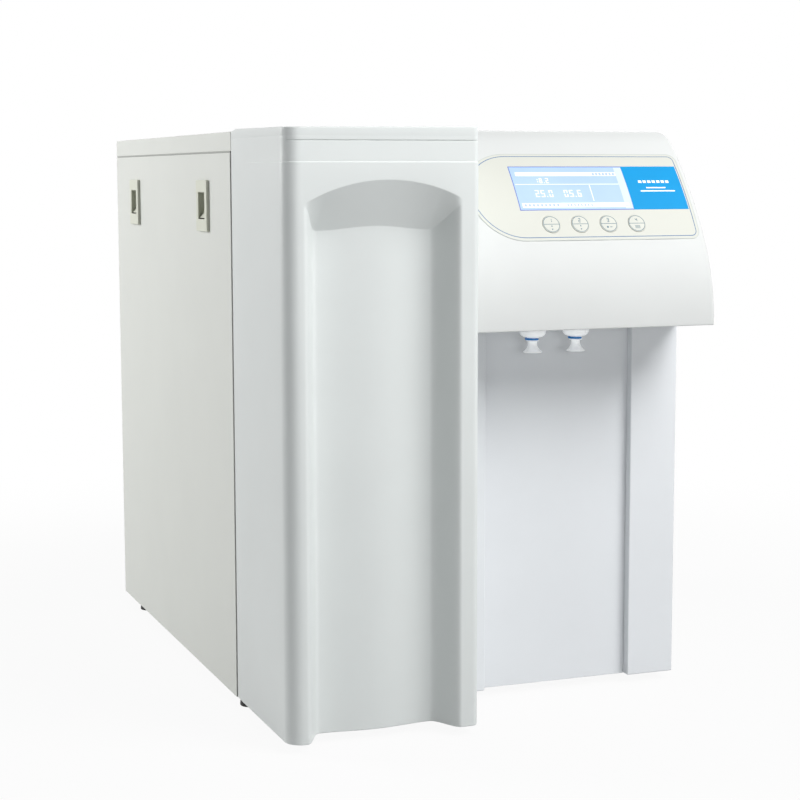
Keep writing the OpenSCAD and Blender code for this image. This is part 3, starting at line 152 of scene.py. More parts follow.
def surface(name, colour, rough, tone=0.03, tone_size=60, grain=0.02, grain_size=0.9, metal=0.0, coat=0.0,
            stretch=(1, 1, 1), **shader_values):
    """A solid finish: slow drift of tone, and a fine grain in its relief and roughness. The colour is in
    0-255 screen values and sizes are in mm."""
    red, green, blue, _ = linear(*colour)
    material = bpy.data.materials.new(name)
    material.use_nodes = True
    tree = material.node_tree
    link = tree.links.new
    shader = tree.nodes["Principled BSDF"]
    set_inputs(shader, {"Metallic": metal, "Coat Weight": coat, "Coat Roughness": 0.06, **shader_values})
    place = add_node(tree, "TexCoord")
    mapping = add_node(tree, "Mapping", Scale=stretch)
    link(place.outputs["Object"], mapping.inputs["Vector"])
    spread = noise(tree, mapping.outputs["Vector"], tone_size)
    fine = noise(tree, mapping.outputs["Vector"], grain_size, 2.0)

    ramp = add_node(tree, "ValToRGB")
    for element, position, share in zip(ramp.color_ramp.elements, (0.3, 0.7), (1 - tone, 1 + tone)):
        element.position = position
        element.color = [min(1, c * share) for c in (red, green, blue)] + [1]
    link(spread, ramp.inputs["Fac"])
    link(ramp.outputs["Color"], shader.inputs["Base Color"])

    vary = add_node(tree, "MapRange", To_Min=max(0.02, rough - 0.06), To_Max=min(1.0, rough + 0.06))
    link(fine, vary.inputs["Value"])
    link(vary.outputs["Result"], shader.inputs["Roughness"])

    bump = add_node(tree, "Bump", Strength=0.5, Distance=grain * MM)
    link(fine, bump.inputs["Height"])
    link(bump.outputs["Normal"], shader.inputs["Normal"])
    return material


def wound(name, colour, band, pitch, rough):
    """A finish with fine slanting bands, as a wound element shows."""
    material = surface(name, colour, rough, tone=0.05, grain=0.05)
    tree = material.node_tree
    link = tree.links.new
    place = add_node(tree, "TexCoord")
    wave = add_node(tree, "TexWave", Scale=1 / (pitch * MM), Distortion=1.5)
    wave.bands_direction = "DIAGONAL"
    link(place.outputs["Object"], wave.inputs["Vector"])
    ramp = add_node(tree, "ValToRGB")
    ramp.color_ramp.elements[0].color = linear(*colour)
    ramp.color_ramp.elements[1].color = linear(*band)
    link(wave.outputs["Fac"], ramp.inputs["Fac"])
    link(ramp.outputs["Color"], tree.nodes["Principled BSDF"].inputs["Base Color"])
    return material


def plain_name(material):
    """A material's name less the number that a second use of the name adds."""
    return material.name.split(".")[0]


# Low reflection, for flat faces that lie in the light, and for inks
DULL = {"Specular_IOR_Level": 0.2}
MATT = {"Specular_IOR_Level": 0.15}

# Each finish: colour, roughness, share and size of its drift of tone, depth and size of its grain
FINISHES = {plain_name(material): material for material in [
    surface("panel_paint", (212, 214, 209), 0.55, 0.012, 90, 0.02, 1.6),
    surface("sheet_steel", (190, 192, 192), 0.38, 0.05, 30, 0.01, 1.2, metal=0.9, stretch=(1, 1, 6)),
    surface("front_plastic", (212, 216, 215), 0.42, 0.012, 70, 0.012, 1.1),
    surface("head_plastic", (205, 207, 206), 0.5, 0.01, 70, 0.01, 1.1, **DULL),
    surface("bay_plastic", (218, 221, 224), 0.36, 0.012, 70, 0.01, 1.1),
    surface("overlay_film", (202, 203, 195), 0.5, 0.008, 50, 0.006, 0.7, **DULL),
    surface("display_lens", (168, 194, 230), 0.4, 0.03, 40, 0.002, 0.7, **DULL),
    surface("circuit_board", (28, 92, 62), 0.35, 0.12, 5, 0.05, 1.5),
    surface("key_plastic", (203, 204, 196), 0.48, 0.01, 20, 0.008, 0.6, **DULL),
    surface("white_plastic", (251, 252, 253), 0.35, 0.015, 25, 0.01, 0.9),
    surface("clip_blue", (30, 120, 190), 0.35, 0.05, 6, 0.01, 0.5),
    surface("latch_plastic", (207, 209, 194), 0.46, 0.02, 20, 0.015, 0.8),
    surface("spring_steel", (205, 206, 209), 0.25, 0.05, 8, 0.006, 0.8, metal=1.0, stretch=(1, 1, 8)),
    surface("blue_plastic", (50, 96, 170), 0.4, 0.06, 15, 0.02, 1),
    wound("membrane_film", (150, 164, 190), (112, 130, 168), 22, 0.4),
    surface("grey_plastic", (86, 88, 92), 0.48, 0.06, 15, 0.02, 1),
    surface("motor_case", (60, 63, 69), 0.45, 0.08, 12, 0.03, 1.4, metal=0.3),
    surface("shaft_steel", (200, 201, 204), 0.22, 0.04, 5, 0.004, 0.6, metal=1.0),
    surface("black_plastic", (40, 41, 43), 0.42, 0.08, 10, 0.02, 0.8),
    surface("reactor_steel", (208, 210, 213), 0.26, 0.05, 12, 0.01, 0.7, metal=1.0, stretch=(1, 1, 12)),
    surface("lamp_glass", (225, 233, 245), 0.08, 0.02, 20, 0.002, 2, coat=0.6),
    surface("power_case", (196, 198, 200), 0.34, 0.05, 20, 0.01, 1, metal=0.8, stretch=(1, 5, 1)),
    surface("brass", (205, 176, 112), 0.28, 0.07, 8, 0.01, 0.7, metal=1.0),
    surface("blue_tube", (62, 116, 208), 0.3, 0.05, 12, 0.008, 1, coat=0.3),
    surface("clear_tube", (232, 236, 238), 0.24, 0.04, 12, 0.008, 1, coat=0.4),
    surface("rubber", (32, 32, 33), 0.72, 0.12, 5, 0.05, 0.7),
    surface("screw_steel", (176, 177, 180), 0.3, 0.06, 4, 0.006, 0.5, metal=1.0),
]}

INKS = {plain_name(material): material for material in [
    surface("line_ink", (92, 122, 158), 0.5, 0.03, 30, **MATT),
    # Painted shade along the overlay sheet's edge
    surface("painted_edge_shade", (180, 187, 186), 0.5, 0.02, 30, **MATT),
    surface("key_ink", (78, 112, 126), 0.5, 0.04, 6, **MATT),
    surface("banner_ink", (2, 143, 204), 0.6, 0.02, 30, **MATT),
    surface("white_ink", (240, 243, 248), 0.5, 0.01, 10, **MATT),
    surface("mark_ink", (172, 192, 228), 0.5, 0.02, 10, **MATT),
    surface("violet_ink", (104, 122, 190), 0.5, 0.05, 20, **MATT),
    surface("glow_ink", (204, 216, 238), 0.5, 0.02, 20, **MATT),
    # Painted shade on the front step of the latch plates
    surface("painted_shade", (178, 180, 167), 0.6, 0.05, 10),
    # Painted shade in the seam between the top cover and the side panel
    surface("painted_seam_shade", (160, 162, 158), 0.7, 0.03, 20),
    # Painted glow: white plastic that gives off a faint light, so the outlets stay light in the shade under
    # the head
    surface("white_plastic_painted_glow", (250, 252, 253), 0.35, 0.015, 25, 0.01, 0.9,
            Emission_Color=(0.96, 0.98, 1.0, 1), Emission_Strength=0.17),
]}


# ---------------------------------------------------------------- mesh helpers

def add_piece(name, mesh, finish, nodes=(), body="cabinet", sharp=32.0):
    """Puts a finished mesh into the scene: painted, riding on its body, smooth but for its sharp edges."""
    obj = bpy.data.objects.new(name, mesh)
    SCENE.collection.objects.link(obj)
    mesh.materials.clear()
    mesh.materials.append(FINISHES.get(finish) or INKS[finish])
    mesh.shade_smooth()
    mesh.set_sharp_from_angle(angle=radians(sharp))
    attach(obj, body)
    if nodes:
        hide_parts(*nodes)


def taken(name, work):
    """A new mesh from a bmesh, which is freed."""
    mesh = bpy.data.meshes.new(name)
    work.to_mesh(mesh)
    work.free()
    return mesh


def to_mesh(name, points, faces, weld=WELD):
    """A mesh from points and faces, with doubled points welded and its faces all turned outwards."""
    mesh = bpy.data.meshes.new(name)
    mesh.from_pydata([tuple(p) for p in points], [], faces)
    work = bmesh.new()
    work.from_mesh(mesh)
    bmesh.ops.remove_doubles(work, verts=work.verts, dist=weld)
    bmesh.ops.dissolve_degenerate(work, edges=work.edges, dist=weld)
    bmesh.ops.recalc_face_normals(work, faces=work.faces)
    work.to_mesh(mesh)
    work.free()
    return mesh


def applied(mesh, kind, **settings):
    """The mesh after a modifier of this kind with these settings."""
    obj = bpy.data.objects.new("work", mesh)
    SCENE.collection.objects.link(obj)
    modifier = obj.modifiers.new(kind, kind)
    for key, value in settings.items():
        setattr(modifier, key, value)
    graph = bpy.context.evaluated_depsgraph_get()
    result = bpy.data.meshes.new_from_object(obj.evaluated_get(graph))
    result.name = mesh.name
    bpy.data.objects.remove(obj)
    return result


def cut(mesh, tool, **settings):
    """The mesh less the tool's solid."""
    cutter = bpy.data.objects.new("cutter", tool)
    SCENE.collection.objects.link(cutter)
    result = applied(mesh, "BOOLEAN", operation="DIFFERENCE", solver="EXACT", object=cutter, **settings)
    bpy.data.objects.remove(cutter)
    return result


def walled(mesh):
    """A skin as a moulding with a wall of one thickness behind it."""
    return applied(mesh, "SOLIDIFY", thickness=MOULDED_WALL, offset=-1.0, use_rim=True)


def grid_faces(rows, columns, closed=False):
    """Faces between rows of points that are listed one row after the other."""
    faces = []
    for r in range(rows - 1):
        for c in range(columns if closed else columns - 1):
            d = (c + 1) % columns
            faces.append((r * columns + c, r * columns + d, (r + 1) * columns + d, (r + 1) * columns + c))
    return faces


def bend(points, radii, steps=4):
    """A line of 2-D points with a smooth bend of the given reach at each inner corner."""
    line = [points[0]]
    for before, corner, after, radius in zip(points, points[1:], points[2:], radii):
        back = before - corner
        ahead = after - corner
        start = corner + back.normalized() * min(radius, back.length * 0.45)
        end = corner + ahead.normalized() * min(radius, ahead.length * 0.45)
        for k in range(steps + 1):
            t = k / steps
            line.append(start * (1 - t) ** 2 + corner * (2 * t * (1 - t)) + end * t * t)
    line.append(points[-1])
    return line


def arc(cx, cy, r, a0, a1, steps):
    """Points along an arc, with its angles in degrees."""
    angles = [radians(a0 + (a1 - a0) * k / steps) for k in range(steps + 1)]
    return [Vector((cx + r * cos(a), cy + r * sin(a))) for a in angles]


def circle(cx, r, steps):
    """A closed outline about a centre at (cx, 0)."""
    return arc(cx, 0, r, 0, 360, steps)[:-1]


def lathe(name, profile, centre, axis=Vector((0, 0, 1)), turns=72, gap=0.0):
    """A turned mesh: profile is (radius, height) pairs about an axis through centre. A gap in degrees
    leaves it open on its -X side, closed by flat ends."""
    turn = axis.to_track_quat("Z", "Y")
    points, faces = [], []
    count = turns + 1 if gap else turns
    closed_line = profile + [profile[0]] if gap else profile
    for k in range(count):
        a = radians(180 + gap / 2 + (360 - gap) * k / turns) if gap else tau * k / turns
        for r, h in closed_line:
            points.append(centre + turn @ Vector((r * cos(a), r * sin(a), h)))
    n = len(closed_line)
    for k in range(turns):
        m = (k + 1) % count
        for i in range(n - 1):
            faces.append((k * n + i, m * n + i, m * n + i + 1, k * n + i + 1))
    if gap:
        faces.append(tuple(range(n - 1)))
        faces.append(tuple(turns * n + i for i in reversed(range(n - 1))))
    return to_mesh(name, points, faces)


def joined(name, meshes):
    """Several meshes as one."""
    work = bmesh.new()
    for mesh in meshes:
        work.from_mesh(mesh)
    return taken(name, work)


def welded(node):
    """A CAD node's mesh with its doubled points welded and its flat faces whole again."""
    work = bmesh.new()
    work.from_mesh(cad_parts[node].data)
    bmesh.ops.remove_doubles(work, verts=work.verts, dist=WELD)
    bmesh.ops.dissolve_limit(work, angle_limit=radians(0.5), verts=work.verts, edges=work.edges)
    return taken(node, work)


def islands(node):
    """The (lowest, highest) corners of each separate solid in a CAD node, from left to right."""
    work = bmesh.new()
    work.from_mesh(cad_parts[node].data)
    bmesh.ops.remove_doubles(work, verts=work.verts, dist=WELD)
    left = set(work.verts)
    found = []
    while left:
        todo = [left.pop()]
        group = []
        while todo:
            vert = todo.pop()
            group.append(vert.co.copy())
            for edge in vert.link_edges:
                other = edge.other_vert(vert)
                if other in left:
                    left.discard(other)
                    todo.append(other)
        found.append((Vector([min(p[i] for p in group) for i in range(3)]),
                      Vector([max(p[i] for p in group) for i in range(3)])))
    work.free()
    return sorted(found, key=lambda pair: (round(pair[0].x, 4), round(pair[0].y, 4)))


def foot_of(lo, hi):
    """The middle of a box's lowest face."""
    return Vector(((lo.x + hi.x) / 2, (lo.y + hi.y) / 2, lo.z))


def softened(node, finish, width=0.6 * MM, name=None, body="cabinet"):
    """Stands for a CAD node with the same shape, its sharp edges rounded as a real edge is."""
    mesh = applied(welded(node), "BEVEL", width=width, segments=3, limit_method="ANGLE",
                   angle_limit=radians(30), use_clamp_overlap=True, miter_outer="MITER_ARC")
    add_piece(name or node + "_dressed", even(mesh), finish, (node,), body, EVEN_SHARP)


def even(mesh):
    """The mesh with its flat faces shaded flat up to their rounded edges."""
    mesh.shade_smooth()
    mesh.set_sharp_from_angle(angle=radians(EVEN_SHARP))
    return applied(mesh, "WEIGHTED_NORMAL", keep_sharp=True, weight=80)


def add_box(work, middle, size):
    bmesh.ops.create_cube(work, size=1.0, matrix=Matrix.Translation(middle) @ Matrix.Diagonal((*size, 1)))


def bar(name, lo, hi, finish, body, width):
    """A straight strip between two corners, with its edges rounded."""
    work = bmesh.new()
    add_box(work, (Vector(hi) + Vector(lo)) / 2, Vector(hi) - Vector(lo))
    mesh = applied(taken(name, work), "BEVEL", width=width, segments=3)
    add_piece(name, even(mesh), finish, body=body)


# ---------------------------------------------------------------- the column

def ease(t):
    """A smooth step from 0 to 1, level at both ends."""
    t = min(1.0, max(0.0, t))
    return t * t * (3 - 2 * t)


def scoop_at(x):
    """Depth of the scoop behind the ridges at x."""
    x0 = COLUMN_LO.x + RIDGE_IN
    x1 = COLUMN_HI.x - RIDGE_IN
    flank = ease((x - x0) / SCOOP_RAMP) * ease((x1 - x) / SCOOP_RAMP)
    across = min(1.0, max(0.0, (x - x0 - SCOOP_RAMP) / (x1 - x0 - 2 * SCOOP_RAMP)))
    return flank * (SCOOP_DEPTH - SCOOP_BULGE * sin(pi * across) ** 2)


def arch_at(x):
    """Height of the arch over the scoop at x."""
    middle = (COLUMN_LO.x + COLUMN_R + COLUMN_HI.x - COLUMN_BAY_R) / 2
    return TOP_Z - ARCH_DROP - ARCH_R + sqrt(ARCH_R ** 2 - (x - middle) ** 2)


def hood_at(x):
    """Height at which the hood's slope meets the scoop floor at x."""
    low = TOP_Z - ARCH_DROP - HOOD_DROP
    return min(arch_at(x) - LEVEL_GAP, low + (SCOOP_DEPTH - scoop_at(x)) * HOOD_RISE)


def column_ring():
    """The column's plan from its rear left corner round the front to its rear right corner. Each entry is
    the point, the outward direction, how much of the crease shows there, and how much of the lid's groove."""
    x0, x1 = COLUMN_LO.x, COLUMN_HI.x
    break_y = SEAM_Y - REAR_BAND
    corner_y = FRONT_Y + COLUMN_R
    left, right = Vector((-1, 0)), Vector((1, 0))
    side_steps, corner_steps, front_steps, bay_steps = 10, 14, 150, 8
    ring = [(Vector((x0 + REAR_INSET, SEAM_Y)), left, 0.0, 0.0), (Vector((x0, break_y)), left, 0.0, 0.0)]
    for k in range(1, side_steps):
        t = k / side_steps
        place = Vector((x0, break_y + (corner_y - break_y) * t))
        ring.append((place, left, ease((t - 0.2) / 0.5), 0.0))
    for k in range(corner_steps):
        a = radians(180 + 90 * k / corner_steps)
        out = Vector((cos(a), sin(a)))
        place = Vector((x0 + COLUMN_R, corner_y)) + out * COLUMN_R
        ring.append((place, out, 1.0, ease((k / corner_steps - 0.3) / 0.5)))
    for k in range(front_steps + 1):
        x = x0 + COLUMN_R + (x1 - COLUMN_BAY_R - x0 - COLUMN_R) * k / front_steps
        ring.append((Vector((x, FRONT_Y)), Vector((0, -1)), 1.0, 1.0))
    for k in range(1, bay_steps + 1):
        a = radians(270 + 90 * k / bay_steps)
        out = Vector((cos(a), sin(a)))
        place = Vector((x1 - COLUMN_BAY_R, FRONT_Y + COLUMN_BAY_R)) + out * COLUMN_BAY_R
        ring.append((place, out, 1.0, 1.0))
    return ring + [(Vector((x1, y)), right, 1.0, 1.0) for y in (break_y, SEAM_Y)]


def column_profile(x, share, groove_share):
    """One upright line of the column: (depth behind the plan, height) from the bottom edge to the lid."""
    line_z = COLUMN_HI.z - LINE_DROP
    groove = GROOVE * groove_share
    scoop = scoop_at(x)
    step = CREASE_STEP * share
    crease = TOP_Z - CREASE_DROP
    foot_bend, hood_bend, crease_bend, fine_bend = 1.2 * MM, 0.7 * MM, 0.3 * MM, 0.05 * MM
    return bend([
        Vector((scoop + 2.5 * MM, FOOT_Z)),
        Vector((scoop, FOOT_Z)),
        Vector((scoop, hood_at(x))),
        Vector((0, arch_at(x))),
        Vector((0, crease)),
        Vector((step, crease + CREASE_STEP)),
        Vector((step, line_z - 0.5 * MM)),
        Vector((step + groove, line_z - 0.2 * MM)),
        Vector((step + groove, line_z + 0.2 * MM)),
        Vector((step, line_z + 0.5 * MM)),
        Vector((step, COLUMN_HI.z)),
        Vector((step + 2.5 * MM, COLUMN_HI.z)),
    ], [foot_bend, hood_bend, hood_bend, crease_bend, crease_bend, fine_bend, fine_bend, fine_bend,
        0.2 * MM, fine_bend])


def lid_drop(place):
    """How far the lid's top lies below its crest, which runs along the front edge of the rear band. It
    falls towards the front left corner."""
    crest_y = SEAM_Y - REAR_BAND
    if place.y > crest_y:
        return REAR_DROP * (place.y - crest_y) / REAR_BAND
    ahead = (crest_y - place.y) / (crest_y - FRONT_Y)
    return LID_FALL * ahead * (COLUMN_HI.x - place.x) / (COLUMN_HI.x - COLUMN_LO.x)


def behind(base, out, line):
    """A line of (depth, height) pairs set up at a point of the plan."""
    return [Vector((base.x - out.x * depth, base.y - out.y * depth, z)) for depth, z in line]


def skin(lines):
    """Points and faces between upright lines, with the bottom closed."""
    rows, count = len(lines[0]), len(lines)
    points = [line[row] for row in range(rows) for line in lines]
    return points, grid_faces(rows, count) + [tuple(reversed(range(count)))]


def build_moulding(ring):
    """The column's outer skin with its scoop, crease and groove, as a thin wall."""
    x0 = COLUMN_LO.x + COLUMN_R
    x1 = COLUMN_HI.x - COLUMN_BAY_R
    lines = [behind(base, out, column_profile(min(x1, max(x0, base.x)), share, groove_share))
             for base, out, share, groove_share in ring]
    mesh = walled(to_mesh("column_moulding", *skin(lines)))
    add_piece("column_moulding", mesh, "front_plastic", ("column_shell",), sharp=40)


def build_lid(ring):
    """The column's lid with a rounded rim. Its top falls from a crest, in one face to either side."""
    foot_bend, rim_bend = 0.05 * MM, 1.2 * MM
    lines = []
    for base, out, share, _ in ring:
        step = CREASE_STEP * share
        top = LID_HI.z - lid_drop(base)
        lines.append(behind(base, out, bend([
            Vector((step + 2 * MM, LID_LO.z)),
            Vector((step, LID_LO.z)),
            Vector((step, top)),
            Vector((step + 3 * MM, top)),
        ], [foot_bend, rim_bend])))
    points, faces = skin(lines)
    rows, count = len(lines[0]), len(lines)
    last = (rows - 1) * count
    faces.append(tuple(last + c for c in range(1, count - 1)))
    faces.append((last, last + 1, last + count - 2, last + count - 1))
    rear_left = [row * count for row in range(rows)]
    rear_right = [row * count + count - 1 for row in reversed(range(rows))]
    faces.append(tuple(rear_left + rear_right))
    mesh = to_mesh("column_lid", points, faces, weld=1e-7)
    add_piece("column_lid", mesh, "front_plastic", ("column_cap",), sharp=40)


def build_column():
    ring = column_ring()
    build_moulding(ring)
    build_lid(ring)


# ---------------------------------------------------------------- the head

def head_line(inset):
    """The head's side outline from its lower lip over the face to the rear of its top, drawn in by inset."""
    lip = 1.0 * MM
    front = HEAD_LO.y + inset
    corner = [Vector((front + 2 * lip, LOW_CZ)), Vector((front, LOW_CZ)), Vector((front, LOW_CZ + 3 * lip))]
    line = bend(corner, [lip])[:-1]

    def sweep(cy, cz, r, a0, a1, steps):
        """Adds an arc of the face, its angles rising from the horizontal."""
        for k in range(steps + 1):
            a = a0 + (a1 - a0) * k / steps
            line.append(Vector((cy - r * cos(a), cz + r * sin(a))))

    sweep(LOW_CY, LOW_CZ, LOWER_R - inset, radians(0.9), BLEND_A, 26)
    sweep(UP_CY, UP_CZ, UPPER_R - inset, BLEND_A + radians(0.6), BROW_A, 30)
    sweep(BROW_Y, BROW_Z, BROW_R - inset, BROW_A + radians(3), radians(90), 14)
    line.append(Vector((SEAM_Y, HEAD_HI.z - inset)))
    return line


def face_point(x, v, height, angle):
    """A point over the upper curve of the face. v runs up the face from `angle`, height stands off it."""
    reach = sqrt((UPPER_R + height) ** 2 - v * v)
    return Vector((x, UP_CY - reach * cos(angle) + v * sin(angle),
                   UP_CZ + reach * sin(angle) + v * cos(angle)))


def face_frame(angle):
    """The outward direction at an angle up the upper curve, the direction up the face, and the place."""
    out = Vector((0, -cos(angle), sin(angle)))
    up = Vector((0, sin(angle), cos(angle)))
    return out, up, Vector((0, UP_CY, UP_CZ)) + out * UPPER_R


def face_block(outline, angle, reach=14 * MM):
    """A straight block through the face, from an outline in (x, v)."""
    n = len(outline)
    out, up, centre = face_frame(angle)
    points = [centre + Vector((x, 0, 0)) + up * v + out * h for h in (-reach, reach) for x, v in outline]
    faces = grid_faces(2, n, closed=True) + [tuple(reversed(range(n))), tuple(range(n, 2 * n))]
    return to_mesh("cut", points, faces)


def key_centre(node):
    lo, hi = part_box(node)
    return (lo.x + hi.x) / 2


def key_hole(node):
    return [Vector((key_centre(node), 0)) + p for p in circle(0, KEY_R + KEY_GAP, 64)]


def rectangle(x0, v0, x1, v1):
    return [Vector((x0, v0)), Vector((x1, v0)), Vector((x1, v1)), Vector((x0, v1))]


def window_outline(grow=0.0):
    w = WINDOW_W / 2 + grow
    h = WINDOW_H / 2 + grow
    return rectangle(WINDOW_X - w, -h, WINDOW_X + w, h)


def build_head():
    """The head's skin, rounded at its free end, with openings for the display and the keys."""
    x0, x1 = HEAD_LO.x, HEAD_HI.x
    edge = 0.6 * MM
    sections = [(x0, edge), (x0 + 0.3 * edge, 0.3 * edge), (x0 + edge, 0.0)]
    sections += [(x0 + (x1 - END_R - x0) * k / 8, 0.0) for k in range(1, 8)]
    for k in range(11):
        a = radians(9 * k)
        sections.append((x1 - END_R + END_R * sin(a), END_R * (1 - cos(a))))
    lines = [[Vector((x, p.x, p.y)) for p in head_line(inset)] for x, inset in sections]
    n = len(lines[0])
    points = [p for line in lines for p in line]
    faces = grid_faces(len(lines), n)
    for s in (0, len(lines) - 1):
        foot = len(points)
        points.append(Vector((sections[s][0], SEAM_Y, HEAD_LO.z)))
        faces.append(tuple(range(s * n, s * n + n)) + (foot,))
    shell = walled(to_mesh("head_moulding", points, faces))
    holes = [face_block(window_outline(0.1 * MM), WINDOW_A)]
    holes += [face_block(key_hole(node), KEY_A) for node in KEYS]
    mesh = cut(shell, joined("cutter", holes))
    add_piece("head_moulding", mesh, "head_plastic", ("head_shell",), sharp=38)


# ---------------------------------------------------------------- sheets and prints on the face

def walk(loop, step):
    """A closed outline with points no further apart than step."""
    line = []
    for a, b in zip(loop, loop[1:] + loop[:1]):
        parts = max(1, ceil((b - a).length / step))
        line += [a.lerp(b, k / parts) for k in range(parts)]
    return line


def inside(p, loop):
    """Whether a point lies in a closed outline."""
    hit = False
    for a, b in zip(loop, loop[1:] + loop[:1]):
        if (a.y > p.y) != (b.y > p.y) and p.x < a.x + (b.x - a.x) * (p.y - a.y) / (b.y - a.y):
            hit = not hit
    return hit


def filled(outline, holes, step):
    """Points and triangles that fill an outline less its holes, in rows close enough to bend up the face."""
    loops = [walk(loop, step) for loop in [outline] + list(holes)]
    points, edges = [], []
    for loop in loops:
        first = len(points)
        points += loop
        edges += [(first + k, first + (k + 1) % len(loop)) for k in range(len(loop))]
    xs = [p.x for p in outline]
    vs = [p.y for p in outline]
    across = step * 3
    for r in range(1, ceil((max(vs) - min(vs)) / step)):
        v = min(vs) + r * step
        for c in range(1, ceil((max(xs) - min(xs)) / across)):
            p = Vector((min(xs) + c * across, v))
            if inside(p, outline) and not any(inside(p, hole) for hole in holes):
                points.append(p)
    verts, _, faces, _, _, _ = delaunay_2d_cdt(points, edges, [], 0, 1e-8)
    kept = []
    for face in faces:
        middle = sum((verts[i] for i in face), Vector((0, 0))) / len(face)
        if inside(middle, outline) and not any(inside(middle, hole) for hole in holes):
            kept.append(tuple(face))
    return verts, kept


def sheet(name, points, faces):
    """A closed thin sheet, from its top's points followed by its underside's, and its top's faces."""
    n = len(points) // 2
    sides = {side: True for face in faces for side in zip(face, face[1:] + face[:1])}
    walls = [(a, b, b + n, a + n) for a, b in sides if (b, a) not in sides]
    under = [tuple(i + n for i in reversed(face)) for face in faces]
    return to_mesh(name, points, faces + under + walls, weld=FINE_WELD)


def slab(name, outline, holes, angle, low, high):
    """A thin closed sheet that follows the face, from height low to height high."""
    verts, faces = filled(outline, holes, SHEET_STEP)
    return sheet(name, [face_point(p.x, p.y, h, angle) for h in (high, low) for p in verts], faces)


def with_holes(shape):
    """A shape as its outline and its holes."""
    return shape if isinstance(shape, tuple) else (shape, ())


def prints(name, shapes, angle, ink, base=OVERLAY_T):
    """Printed shapes on the face, each an outline or an (outline, holes) pair, as one piece."""
    meshes = [slab(name, *with_holes(shape), angle, base, base + INK) for shape in shapes]
    add_piece(name, joined(name, meshes), ink)


def overlay_outline(inset):
    """The overlay's plan: a round end beside the column and two small corners at the far end."""
    r = OVERLAY_H / 2 - inset
    c = OVERLAY_CORNER - inset
    left = OVERLAY_X1 - OVERLAY_W + OVERLAY_H / 2
    right = OVERLAY_X1 - inset
    return (arc(left, 0, r, 90, 270, 40) + arc(right - c, -r + c, c, 270, 360, 10)
            + arc(right - c, r - c, c, 0, 90, 10))


def lifted(loop, angle_from, angle_to):
    """An outline that was drawn from one angle, as seen from another."""
    rise = UPPER_R * sin(angle_from - angle_to)
    return [Vector((p.x, p.y + rise)) for p in loop]


# The bars of each plain numeral, by the usual letters a to g
SEGMENTS = {"0": "abcdef", "1": "bc", "2": "abged", "3": "abgcd", "4": "fgbc", "5": "afgcd",
            "6": "afgedc", "7": "abc", "8": "abcdefg", "9": "abcdfg", ".": "."}


def numerals(text, x, v, height, stroke):
    """Plain seven-bar numerals as rectangles, from their lower left corner."""
    wide = height * 0.5
    half = height / 2
    top = height - stroke
    right = wide - stroke
    boxes = {"a": (0, top, wide, height), "g": (0, half - stroke / 2, wide, half + stroke / 2),
             "d": (0, 0, wide, stroke), "f": (0, half + stroke / 2, stroke, top),
             "e": (0, stroke, stroke, half - stroke / 2), "b": (right, half + stroke / 2, wide, top),
             "c": (right, stroke, wide, half - stroke / 2), ".": (0, 0, stroke, stroke)}
    shapes = []
    for mark in text:
        for segment in SEGMENTS[mark]:
            x0, v0, x1, v1 = boxes[segment]
            shapes.append(rectangle(x + x0, v + v0, x + x1, v + v1))
        x += (stroke if mark == "." else wide) + stroke * 1.4
    return shapes


def build_overlay():
    """The overlay with its openings, its printed line, a painted shade along its edge, and the banner with
    plain marks.
    """
    holes = [lifted(window_outline(), WINDOW_A, OVERLAY_A)]
    holes += [lifted(key_hole(node), KEY_A, OVERLAY_A) for node in KEYS]
    film = slab("overlay_sheet", overlay_outline(0.0), holes, OVERLAY_A, 0.02 * MM, OVERLAY_T)
    add_piece("overlay_sheet", film, "overlay_film", ("control_overlay",))
    # The line is print; the grey band at the sheet's edge is painted shade
    for name, inset, width, ink in (("overlay_line", 3.0 * MM, 0.75 * MM, "line_ink"),
                                    ("overlay_edge_shade", 0.1 * MM, 0.5 * MM, "painted_edge_shade")):
        prints(name, [(overlay_outline(inset), [overlay_outline(inset + width)])], OVERLAY_A, ink)

    x0 = WINDOW_X + WINDOW_W / 2
    half = WINDOW_H / 2
    prints("banner", [rectangle(x0, -half, OVERLAY_X1 - 4.6 * MM, half)], WINDOW_A, "banner_ink")
    square, pitch, squares_in, squares_v = 3.0 * MM, 4.9 * MM, 13.5 * MM, 5.2 * MM
    starts = [x0 + squares_in + k * pitch for k in range(7)]
    marks = [rectangle(x, squares_v, x + square * 1.15, squares_v + square) for x in starts]
    # The two lines below the squares: start, lower edge and end
    for start, low, end in ((20, -1.2, 41), (13, -5.0, 50)):
        marks.append(rectangle(x0 + start * MM, low * MM, x0 + end * MM, (low + 1.4) * MM))
    prints("banner_marks", marks, WINDOW_A, "white_ink", OVERLAY_T + INK)


